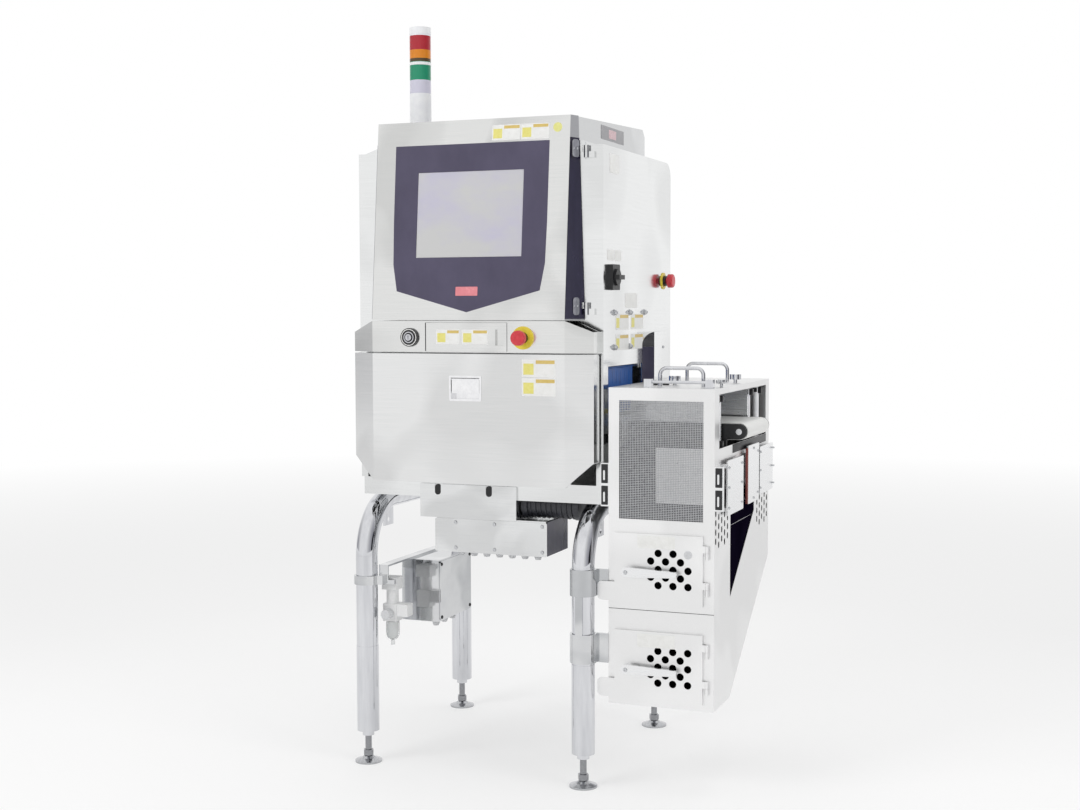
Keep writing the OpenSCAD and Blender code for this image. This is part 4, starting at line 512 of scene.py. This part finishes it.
lens = bpy.data.materials.new("moulded_tinted_lenses")
lens.use_nodes = True
tree = lens.node_tree
shader = tree.nodes["Principled BSDF"]
shader.inputs["Roughness"].default_value = 0.22
shader.inputs["Coat Weight"].default_value = 0.15
place = add(tree, "ShaderNodeTexCoord")
height = add(tree, "ShaderNodeSeparateXYZ", {}, {0: place.outputs["Object"]})
level = add(tree, "ShaderNodeMapRange", {"From Min": TOWER_LOW * MM, "From Max": TOWER_HIGH * MM},
            {"Value": height.outputs["Z"]})
tiers = add(tree, "ShaderNodeValToRGB", {}, {"Fac": level.outputs["Result"]})
tiers.color_ramp.interpolation = "CONSTANT"
start = 0.0
for i, (top, tone) in enumerate(TIER_TONES):
    band = tiers.color_ramp.elements[0] if i == 0 else tiers.color_ramp.elements.new(start)
    band.position = start
    band.color = linear(tone)
    start = (top - TOWER_LOW) / (TOWER_HIGH - TOWER_LOW)
tiers.color_ramp.elements.remove(tiers.color_ramp.elements[len(TIER_TONES)])
tree.links.new(tiers.outputs["Color"], shader.inputs["Base Color"])
# The wave texture makes 10 / pi bands in a metre at scale 1
ribs = add(tree, "ShaderNodeTexWave", {"Scale": 1 / (RIB * MM) / 10 * math.pi, "Distortion": 0.0},
           {"Vector": place.outputs["Object"]}, bands_direction="Z")
relief = add(tree, "ShaderNodeBump", {"Strength": 0.5, "Distance": RIB_DEPTH * MM},
             {"Height": ribs.outputs["Fac"]})
tree.links.new(relief.outputs["Normal"], shader.inputs["Normal"])
dress(lens, "tower_lenses")


# Console door
# A folded stainless hood that leans back, with dark sides, a printed polyester overlay stuck
# round the screen and two chrome lift-off hinges on its right.
FACE_Y = -30
CONSOLE_LOW = 1236
CONSOLE_H = 534
LEAN = 48
LAMP = (-33, 31, 65, 89)
TOP_PLATES = ((59, 140, 477, 518), (142, 221, 477, 518))
DOT_PLACE = (245, 505)
DOT_R = 12.5
lean = math.atan2(LEAN, CONSOLE_H)
console_front = facing(at(0, FACE_Y, CONSOLE_LOW), (0, -math.cos(lean), math.sin(lean)))

# Its broad darker clouds are painted reflection
console_sheet = finish("satin_stainless_console", ("#dddedd", "#e3e3e2"), (150, 150, GRAIN), (0.16, 0.22),
                       1.0, GRAIN_DEPTH, (330, "#ededed"))
overlay = finish("printed_polyester_overlay", ("#443f56", "#514c64"), (160, 160, 260), (0.3, 0.38),
                 0.0, 0.001)
screen = finish("touch_screen_glass", ("#c3bfd8", "#cdcdcd"), (260, 260, 150), (0.1, 0.16))
dark_sheet = finish("dark_powder_coated_side", ("#252238", "#302d46"), (60, 60, 160), (0.2, 0.3),
                    0.0, 0.001)
chrome = finish("chromed_zinc_hinge", ("#b4b5ba", "#cfd0d4"), (20, 20, 20), (0.05, 0.12), 1.0)
dress(console_sheet, "console_door", "band_cover", "control_band")
dress(overlay, "console_bezel")
dress(screen, "touch_screen")

# The overlay stands 0.8 mm proud of the sheet, and the lamp's window lies on it
OVERLAY_T = 0.8
x0, x1, w0, w1 = LAMP
bm = bmesh.new()
add_plate(bm, console_front @ Matrix.Translation(((x0 + x1) / 2, (w0 + w1) / 2, OVERLAY_T)),
          x1 - x0, w1 - w0, 0.5, 1.5)
piece("lamp_window", bm, lamp_pink, "console")

add_plates("console", [
    (console_front @ Matrix.Translation(((x0 + x1) / 2, (w0 + w1) / 2, 0)), x1 - x0, w1 - w0)
    for x0, x1, w0, w1 in TOP_PLATES], "console")

bm = bmesh.new()
add_rod(bm, console_front @ Matrix.Translation((*DOT_PLACE, 0)), DOT_R, 0, PLATE_T, edge=0)
pale_yellow = finish("pale_yellow_vinyl_dot", ("#e6e38a", "#eeec9e"), (8, 8, 8), (0.35, 0.45), 0.0)
piece("console_round_dot", bm, pale_yellow, "console")

# Dark side sheets, each a quadrilateral on the console's flared flank that stops under the hood
HALF_FRONT = 280
FLANK_T = 0.6
FLANK_LOW = 1239
FLANK_TOP = 1712
FLARE = 27
DEPTH = 79
REAR_Y = FACE_Y + DEPTH
for side, name in ((1, "right"), (-1, "left")):
    rows = []
    for z in (FLANK_LOW, FLANK_TOP):
        y_front = FACE_Y + (z - CONSOLE_LOW) * LEAN / CONSOLE_H
        share = (REAR_Y - y_front) / DEPTH
        rows.append([(HALF_FRONT + 0.4, y_front + 1.0, z), (HALF_FRONT + FLARE * share, REAR_Y - 1, z)])
    outline = [at(side * (x + 0.2), y, z) for x, y, z in (rows[0][0], rows[0][1], rows[1][1], rows[1][0])]
    bm = bmesh.new()
    thicken(bm, outline, (side * FLANK_T, -FLANK_T / 3, 0))
    piece(f"console_{name}_side", bm, dark_sheet, "console")

# Hinge leaves and their screws on the right side
LEAF_W = 26
LEAF_H = 46
LEAF_T = 1.2
LEAF_Z = (1272, 1682)
LEAF_SHARE = 0.55
LEAF_SCREWS = (-7, 7)
bm = bmesh.new()
flank = Vector((DEPTH, -FLARE, 0)).normalized()
for z in LEAF_Z:
    spot = facing(at(HALF_FRONT + FLARE * LEAF_SHARE, FACE_Y + DEPTH * LEAF_SHARE, z) + flank * 0.9, flank)
    add_plate(bm, spot, LEAF_W, LEAF_H, LEAF_T, 8)
    for w in LEAF_SCREWS:
        add_screw(bm, spot @ Matrix.Translation((w, 0, LEAF_T)), 3.6, 1.8)
piece("console_hinge_leaves", bm, chrome, "console")


# Control band
# The folded band under the console carries a key switch, a hinged cover with a recessed pull
# and the front emergency stop. Their plain plates and rings are separate printed pieces.
BAND_PLATES = ((-88, -19, 1172, 1211), (-12, 63, 1172, 1211))
KEY_PLACE = (-166, 1189.5)
KEY_COLLAR = 8
STOP_PLACE = (163.5, 1189.5)

black_plastic = finish("moulded_black_nylon", ("#1a1a1c", "#232326"), (5, 5, 5), (0.35, 0.5), 0.0, 0.01)
yellow_plastic = finish("moulded_yellow_polycarbonate", ("#edd53c", "#f3de52"), (10, 10, 10), (0.28, 0.38),
                        0.0, 0.003)
red_plastic = finish("moulded_red_nylon", ("#cc3440", "#d8454f"), (8, 8, 8), (0.28, 0.4), 0.0, 0.004)
latch_steel = finish("pressed_bright_latch", ("#e9e9eb", "#f4f4f5"), (30, 30, 30), (0.14, 0.2), 1.0, 0.0)
dress(black_plastic, "switch_bodies", "isolator_knob")
dress(chrome, "key_barrel")
dress(latch_steel, "latch_frame", "latch_flap")
dress(red_plastic, "estop_front_head", "estop_side_head")

add_plates("band_cover", [(facing(at((x0 + x1) / 2, FACE_Y, (z0 + z1) / 2), FRONT), x1 - x0, z1 - z0)
                          for x0, x1, z0, z1 in BAND_PLATES], "band_cover")

# Black edging in the joints at both ends of the cover
cover_low, cover_high = corners("band_cover")
bm = bmesh.new()
for x, w in ((cover_low.x - 1.4, 2.6), (cover_high.x + 0.8, 1.4)):
    spot = Matrix.Translation(at(x, FACE_Y, 0))
    add_block(bm, spot, (-w / 2, -0.3, cover_low.z), (w / 2, 0, cover_high.z), 0.05)
piece("band_joint_edging", bm, black_plastic)

key_front = facing(at(KEY_PLACE[0], FACE_Y - KEY_COLLAR, KEY_PLACE[1]), FRONT)
bm = bmesh.new()
add_ring(bm, key_front, 20.5, 22.5, -0.1, 0.3)
piece("key_plain_ring", bm, plate_print)
bm = bmesh.new()
add_ring(bm, key_front, 12.4, 15.2, -0.1, 1.6)
piece("key_nose_ring", bm, chrome)

stop_front = facing(at(STOP_PLACE[0], FACE_Y, STOP_PLACE[1]), FRONT)
bm = bmesh.new()
add_ring(bm, stop_front, 15.2, 30.4, 0, 3.5, 64)
piece("front_stop_disc", bm, yellow_plastic)


# Side switches
# The side emergency stop has a moulded yellow disc of its own, clamped under its neck. The
# isolator beside it is all black and is dressed with the band's switches.
SIDE_STOP_PLACE = (590, 1346)
stop_side = facing(at(shell_high.x, *SIDE_STOP_PLACE), RIGHT)
bm = bmesh.new()
add_ring(bm, stop_side, 15.2, 24.3, 0, 2.6, 64)
piece("side_stop_disc", bm, yellow_plastic)


# Lower door
# A folded stainless door that tips forward, with a pressed finger latch. Two plain plates
# stand one over the other at its top right.
DOOR_PLATES = ((160, 255, 1087, 1134), (160, 255, 1037, 1084))
# Painted shade: the door's sheet is the cabinet's brushed sheet a shade darker, so the front reads darker
# than the shell's lit right side. Its broad darker clouds are painted reflection
door_sheet_shaded_copy = finish("brushed_stainless_door_shaded_copy", ("#e2e3e3", "#e8e8e8"), (170, 170, GRAIN), (0.16, 0.22),
                    1.0, GRAIN_DEPTH, (380, "#f1f1f1"))
dress(door_sheet_shaded_copy, "lower_door")
add_plates("door", [(facing(at((x0 + x1) / 2, FACE_Y, (z0 + z1) / 2), FRONT), x1 - x0, z1 - z0)
                    for x0, x1, z0, z1 in DOOR_PLATES], "lower_door")


# Conveyors
# Both belts are white urethane-coated fabric, welded endless, over turned rollers. The finned
# drive motor hangs under the bed, and slit curtains of blue rubber close the tunnel.
belt_cloth = finish("urethane_coated_belt", ("#e6e7e5", "#efefed"), (3, 3, 3), (0.45, 0.6), 0.0, 0.02)
blue_shield = finish("blue_shielding_rubber", ("#2358a6", "#2f6cc0"), (14, 14, 60), (0.35, 0.5), 0.0, 0.02)
motor_paint = finish("dark_motor_enamel", ("#2b2c31", "#3a3b42"), (4, 4, 4), (0.3, 0.45), 0.0, 0.02)
detector_cover = finish("painted_detector_cover", ("#dddfe0", "#e8e9ea"), (8, 8, 8), (0.4, 0.5), 0.0, 0.004)
dress(belt_cloth, "xray_belt", "reject_belt")
dress(blue_shield, "curtain_outfeed", "curtain_infeed")
dress(motor_paint, "drive_motor")
dress(turned_steel, "drive_roller", "tail_roller", "reject_drive_roller", "reject_tail_roller")
dress(detector_cover, "line_detector")


# Boxes under the cabinet
# The terminal box has a screwed front and a row of grey glands. The valve box's lid faces
# right, with a cross screw in each corner.
BOX_SCREW_R = 5.5
BOX_SCREW_H = 2
term_low, term_high = corners("terminal_box")
valve_low, valve_high = corners("valve_box")
nylon = finish("grey_nylon_gland", ("#cfd0d2", "#dcdddf"), (6, 6, 6), (0.35, 0.45), 0.0, 0.004)
dress(nylon, "cable_glands")

bm = bmesh.new()
for x in (term_low.x + 62, (term_low.x + term_high.x) / 2 + 12, term_high.x - 14):
    for z in (term_low.z + 12, term_high.z - 14):
        add_screw(bm, facing(at(x, term_low.y, z), FRONT), BOX_SCREW_R, BOX_SCREW_H)
piece("box_lid_screws", bm, screw_steel)
bm = bmesh.new()
for y in (valve_low.y + 12, valve_high.y - 12):
    for z in (valve_low.z + 12, valve_high.z - 12):
        add_screw(bm, facing(at(valve_high.x, y, z), RIGHT), BOX_SCREW_R, BOX_SCREW_H)
piece("valve_lid_screws", bm, black_plastic)

# The terminal box's right end is a dark tinted sheet
END_INSET = 3
spot = facing(at(term_high.x, (term_low.y + term_high.y) / 2, (term_low.z + term_high.z) / 2), RIGHT)
bm = bmesh.new()
add_plate(bm, spot, term_high.y - term_low.y - END_INSET, term_high.z - term_low.z - END_INSET, 0.5, 1)
piece("terminal_box_dark_end", bm, shroud_dark)

# A black sheet at the back of the two notches of the drive cover is painted shade
NOTCHES = (-121, 32)
NOTCH_Z = 770.2
NOTCH_SIZE = (17.4, 29.6)
NOTCH_DEPTH = 3
drive_front = corners("drive_cover")[0].y
bm = bmesh.new()
for x in NOTCHES:
    add_plate(bm, facing(at(x, drive_front + NOTCH_DEPTH, NOTCH_Z), FRONT), *NOTCH_SIZE, 0.8, 8)
piece("notch_painted_shade_backing", bm, black_plastic)


# Air service set
# A filter regulator of painted die-cast aluminium, with a grey nylon knob on its front and a
# clear moulded bowl screwed under it.
cast_body = finish("painted_die_cast_body", ("#e8e9e9", "#f2f2f2"), (5, 5, 5), (0.4, 0.5), 0.0, 0.02)
bowl = finish("moulded_clear_bowl", ("#eef0f0", "#f6f7f7"), (30, 30, 30), (0.08, 0.14), 0.0, 0.0,
              Transmission_Weight=0.75, IOR=1.5)
dress(cast_body, "air_regulator")
dress(nylon, "regulator_knob")
dress(bowl, "filter_bowl")


# Reject unit
# A bead-blasted stainless housing that narrows towards its foot, with a perforated window, two
# bin doors and plates that screw to its outfeed side.
REJECT_LEFT = 385
REJECT_RIGHT = 670
REJECT_FRONT = 16
REJECT_REAR = 624
REJECT_LOW = 228
REJECT_TOP = 1058
# The dimples of blasting are about 0.2 mm wide and are drawn at 1.6 mm so that they show
DIMPLE = 1.6
# The last entry is a painted cloud: broad soft darker patches of painted reflection
BLASTED = (("#f0f0f0", "#f5f5f5"), (DIMPLE, DIMPLE, DIMPLE), (0.34, 0.42), 1.0, 0.002, (300, "#f8f8f8"))
blasted_sheet = finish("bead_blasted_stainless", *BLASTED)
housing_sheet_painted_shade = finish("bead_blasted_housing_painted_shade", *BLASTED)
bright_plate = finish("ground_stainless_plate", ("#eaebec", "#efeff0"), (140, 140, GRAIN), (0.24, 0.32), 1.0)
mesh_steel = finish("perforated_stainless_mesh", ("#b2b3b6", "#c2c3c5"), (9, 9, 9), (0.25, 0.4), 1.0, 0.002)


def paint_shade_inside(material, low, high, slope_foot, slope_head, tone):
    """Paints shade on what lies inside a box, and above a slope of the side view: a dark matt colour without
    metal, standing in for the shade that falls there.
    """
    tree = material.node_tree
    shader = tree.nodes["Principled BSDF"]
    place = add(tree, "ShaderNodeTexCoord")
    middle = (at(*low) + at(*high)) / 2 * MM
    half = (Vector(high) - Vector(low)) / 2 * MM
    moved = add(tree, "ShaderNodeVectorMath", {1: middle}, {0: place.outputs["Object"]},
                operation="SUBTRACT")
    folded = add(tree, "ShaderNodeVectorMath", {}, {0: moved.outputs[0]}, operation="ABSOLUTE")
    past = add(tree, "ShaderNodeVectorMath", {1: half}, {0: folded.outputs[0]}, operation="SUBTRACT")
    axes = add(tree, "ShaderNodeSeparateXYZ", {}, {0: past.outputs[0]})
    wide = add(tree, "ShaderNodeMath", {}, {0: axes.outputs[0], 1: axes.outputs[1]}, operation="MAXIMUM")
    widest = add(tree, "ShaderNodeMath", {}, {0: wide.outputs[0], 1: axes.outputs[2]}, operation="MAXIMUM")
    boxed = add(tree, "ShaderNodeMath", {1: 0.0}, {0: widest.outputs[0]}, operation="LESS_THAN")
    foot = at(0, *slope_foot) * MM
    run = at(0, *slope_head) * MM - foot
    down = Vector((0, run.z, -run.y)).normalized()
    reach = add(tree, "ShaderNodeVectorMath", {1: down}, {0: place.outputs["Object"]},
                operation="DOT_PRODUCT")
    above = add(tree, "ShaderNodeMath", {1: foot.dot(down) - PAINTED_SHADE_INSET * MM},
                {0: reach.outputs["Value"]}, operation="LESS_THAN")
    painted_shade_mask = add(tree, "ShaderNodeMath", {}, {0: boxed.outputs[0], 1: above.outputs[0]},
                 operation="MULTIPLY")
    # Painted shade: the mask mixes the dark tone into the colour and turns the metal off
    colour = shader.inputs["Base Color"].links[0].from_socket
    painted_shade_colour = add(tree, "ShaderNodeMix", {7: linear(tone)}, {0: painted_shade_mask.outputs[0], 6: colour},
                data_type="RGBA")
    tree.links.new(painted_shade_colour.outputs[2], shader.inputs["Base Color"])
    unshaded_metal = add(tree, "ShaderNodeMath", {0: 1.0}, {1: painted_shade_mask.outputs[0]}, operation="SUBTRACT")
    tree.links.new(unshaded_metal.outputs[0], shader.inputs["Metallic"])


# Painted shade: the insides of the chutes and bins are coloured dark and matt below the level of the belt,
# where shade falls
PAINTED_SHADE_TOP = 940
PAINTED_SHADE_INSET = 1.2
SLOPE_FOOT = (179, REJECT_LOW)
SLOPE_HEAD = (REJECT_REAR, 546)
paint_shade_inside(housing_sheet_painted_shade, (REJECT_LEFT + 1, REJECT_FRONT + 8, REJECT_LOW + 1),
              (REJECT_RIGHT - 1, REJECT_REAR - 1, PAINTED_SHADE_TOP), SLOPE_FOOT, SLOPE_HEAD, "#17151d")
dress(housing_sheet_painted_shade, "reject_housing")
dress(blasted_sheet, "reject_lid", "bin_door_upper", "bin_door_lower")
dress(polished_tube, "lid_fittings")
dress(bright_plate, "outfeed_plates", "front_gate", "rear_gate", "bin_lever_upper", "bin_lever_lower")
dress(black_plastic, "reject_conveyor_frame")
dress(tower_plastic, "gate_cylinders", "sweep_paddle")

# The window's perforated sheet has about 4.5 mm pitch, drawn as crossing flat bars. The level
# bars are thinner than the upright ones, so that no two faces coincide.
MESH_PITCH = 4.5
MESH_BAR = 1.5
MESH_RIM = 6
MESH_T = 1
MESH_SET_BACK = 2.5
LEVEL_INSET = 0.1
WINDOW = (414, 640, 719, 1028)
mesh_front = REJECT_FRONT + MESH_SET_BACK
bm = bmesh.new()
here = Matrix.Translation(at(0, 0, 0))
mesh_x0 = WINDOW[0] - MESH_RIM
mesh_x1 = WINDOW[1] + MESH_RIM
mesh_z0 = WINDOW[2] - MESH_RIM
mesh_z1 = WINDOW[3] + MESH_RIM
columns = round((mesh_x1 - mesh_x0) / MESH_PITCH)
rows_up = round((mesh_z1 - mesh_z0) / MESH_PITCH)
pitch_x = (mesh_x1 - mesh_x0 - MESH_BAR) / columns
pitch_z = (mesh_z1 - mesh_z0 - MESH_BAR) / rows_up
bars = []
for i in range(columns + 1):
    x = mesh_x0 + i * pitch_x
    bars.append(((x, mesh_front, mesh_z0), (x + MESH_BAR, mesh_front + MESH_T, mesh_z1)))
for j in range(rows_up + 1):
    z = mesh_z0 + j * pitch_z
    bars.append(((mesh_x0, mesh_front + LEVEL_INSET, z),
                 (mesh_x1, mesh_front + MESH_T - LEVEL_INSET, z + MESH_BAR)))
for ends in bars:
    low, high = (Vector(end) for end in ends)
    bmesh.ops.create_cube(bm, size=1, matrix=here @ Matrix.LocRotScale((low + high) / 2, None, high - low))
window = piece("window_fine_mesh", bm, mesh_steel)
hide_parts("window_mesh")

# A near-black sheet without gloss closes the chute's opening from inside, as painted shade of the dark
# chute. A level grey joint strip crosses it
PANE_INSET = 2.8
PANE_X = REJECT_RIGHT - PANE_INSET
PANE_T = 2
PANE = ((170, 499), (180, 499), (446, 700.5), (446, 788), (170, 788))
PANE_JOINT = 690
JOINT_SPAN = (182, 430)
JOINT_HALF = 0.7
chute_shade_sheet = finish("chute_painted_shade_sheet", ("#0a0714", "#100c1b"), (90, 90, 90), (0.3, 0.4), 0.0, 0.0,
                Specular_IOR_Level=0.0, IOR=1.03)
bm = bmesh.new()
thicken(bm, [at(PANE_X, y, z) for y, z in PANE], (-PANE_T, 0, 0))
piece("chute_painted_shade_pane", bm, chute_shade_sheet)
bm = bmesh.new()
add_block(bm, Matrix.Translation(at(PANE_X, 0, PANE_JOINT)), (0, JOINT_SPAN[0], -JOINT_HALF),
          (0.5, JOINT_SPAN[1], JOINT_HALF), 0.1)
piece("pane_joint_strip", bm, window_grey)

# A black strip in the groove of the housing's joint is painted shadow, and a black apron hangs under the
# outfeed
SEAM_TOP = 482
SEAM_SHADOW_H = 1.5
SEAM_END = 0.5
OUTFEED_LOW = 905
APRON_H = 22.5
APRON_SPAN = (200, 585)
seam_z = SEAM_TOP - 0.05
apron_z = OUTFEED_LOW - 0.5
bm = bmesh.new()
add_block(bm, here, (REJECT_LEFT + SEAM_END, REJECT_FRONT + 0.5, seam_z - SEAM_SHADOW_H),
          (REJECT_RIGHT - SEAM_END, REJECT_FRONT + 1.2, seam_z), 0.1)
add_block(bm, here, (REJECT_RIGHT, APRON_SPAN[0], apron_z - APRON_H),
          (REJECT_RIGHT + 0.8, APRON_SPAN[1], apron_z), 0.2)
piece("seam_painted_shadow_and_black_apron", bm, black_plastic)

# Plain plates, a hole plug and the lever screws of the bin doors
DOOR_PLATE = (467, 568)
DOOR_FACE = REJECT_FRONT - 8.3
PLUG_PLACE = (603, 634)
PLUG_R = 11
LEVER_PIVOT_X = 441
BINS = ((646, 679, 583, "upper"), (386, 421, 327, "lower"))
for z0, z1, pivot_z, name in BINS:
    bm = bmesh.new()
    add_plate(bm, facing(at(sum(DOOR_PLATE) / 2, DOOR_FACE, (z0 + z1) / 2), FRONT),
              DOOR_PLATE[1] - DOOR_PLATE[0], z1 - z0, PLATE_T, 1)
    piece(f"bin_{name}_plain_plate", bm, plate_print, f"bin_door_{name}")
    lever_low = corners(f"bin_lever_{name}")[0]
    bm = bmesh.new()
    add_screw(bm, facing(at(LEVER_PIVOT_X, lever_low.y, pivot_z), FRONT), 6, 2.2)
    piece(f"bin_{name}_lever_screw", bm, screw_steel, f"bin_lever_{name}")
bm = bmesh.new()
add_rod(bm, facing(at(PLUG_PLACE[0], DOOR_FACE, PLUG_PLACE[1]), FRONT), PLUG_R, 0, 1.2, edge=0.4, sides=32)
piece("bin_door_hole_plug", bm, nylon, "bin_door_upper")

# Screws of the outfeed plates, and the red-brown rubber seal beside the middle one
PLATE_FACE = REJECT_RIGHT + 14
PLATE_SCREWS = ((112, 852), (112, 800), (112, 746), (250, 852), (250, 800), (250, 746), (385, 880),
                (385, 742), (436, 868), (436, 752), (466, 862), (466, 810), (466, 760))
PLATE_SCREW_R = 4
PLATE_SCREW_H = 2.4
STUD_ROW_Y = 608
STUD_ROW_Z = (862, 810, 760)
STUD_ROW_R = 2.6
STUD_ROW_H = 7
SEAL_LOW = (REJECT_RIGHT + 8, 311, 733)
SEAL_HIGH = (PLATE_FACE, 318.6, 885)
bm = bmesh.new()
for y, z in PLATE_SCREWS:
    add_screw(bm, facing(at(PLATE_FACE, y, z), RIGHT), PLATE_SCREW_R, PLATE_SCREW_H)
for z in STUD_ROW_Z:
    add_rod(bm, facing(at(PLATE_FACE, STUD_ROW_Y, z), RIGHT), STUD_ROW_R, 0, STUD_ROW_H, edge=0.4, sides=16)
piece("outfeed_plate_screws", bm, screw_steel)
seal_rubber = finish("red_brown_rubber_seal", ("#7d3f3a", "#8e4d46"), (5, 5, 20), (0.5, 0.65), 0.0, 0.004)
bm = bmesh.new()
add_block(bm, here, SEAL_LOW, SEAL_HIGH, 1)
piece("plate_edge_seal", bm, seal_rubber)

# Black corner latches with a light pressed lever
LATCH_OUT = 11
LATCH_Z = (778, 835)
LATCH_T = 1.2
bm = bmesh.new()
levers = bmesh.new()
for x in (REJECT_LEFT - LATCH_OUT, REJECT_RIGHT + LATCH_OUT):
    for z in LATCH_Z:
        spot = facing(at(x, REJECT_FRONT, z), FRONT)
        add_plate(bm, spot, 18, 50, LATCH_T, 1.5)
        add_plate(levers, spot @ Matrix.Translation((0, 0, LATCH_T)), 5, 26, 0.8, 2.2, (-1, -4))
piece("corner_latch_inlays", bm, black_plastic)
piece("corner_latch_levers", levers, bright_plate)

# Push-in fittings on the gate cylinders: to the right at head and foot, and in front at the head.
# Each has a low corner, a high corner and a rounding, from its cylinder's axis.
CYLINDER_X = 648
CYLINDERS_Y = (76, 116, 446, 550)
FITTINGS = (((8, -7, 1023), (18, 7, 1040), 1), ((8, -6, 903), (18, 6, 921), 1),
            ((-6, -10.5, 1026), (6, -8, 1038), 0.6))
bm = bmesh.new()
for y in CYLINDERS_Y:
    for low, high, edge in FITTINGS:
        add_block(bm, Matrix.Translation(at(CYLINDER_X, y, 0)), low, high, edge)
piece("cylinder_push_fittings", bm, black_plastic)

# A yellow nose on the sweep paddle, seen through the window
NOSE_LOW = (396, 271, 974)
NOSE_HIGH = (430.5, 285, 986)
bm = bmesh.new()
add_block(bm, here, NOSE_LOW, NOSE_HIGH, 1.5)
piece("paddle_yellow_nose", bm, yellow_plastic, "sweep_paddle")

# A third star knob and two black stops on the lid
LID_TOP = REJECT_TOP + 3
KNOB_PLACE = (660, 119)
KNOB_ARMS = 5
KNOB_STEM = 9
STOPS = ((461, 178), (489, 187))
knob = Matrix.Translation(at(*KNOB_PLACE, LID_TOP))
bm = bmesh.new()
add_rod(bm, knob, 4, 0, KNOB_STEM, edge=0.4)
add_rod(bm, knob, 11, KNOB_STEM, 20, edge=1.5)
for i in range(KNOB_ARMS):
    turned = knob @ Matrix.Rotation(math.tau * i / KNOB_ARMS, 4, "Z")
    add_rod(bm, turned @ Matrix.Translation((10, 0, 0)), 5, 10, 19, edge=1.2, sides=16)
piece("lid_third_knob", bm, screw_steel)
bm = bmesh.new()
for x, y in STOPS:
    add_block(bm, here, (x - 8, y - 6, LID_TOP), (x + 8, y + 6, LID_TOP + 10), 1)
piece("lid_black_stops", bm, black_plastic)
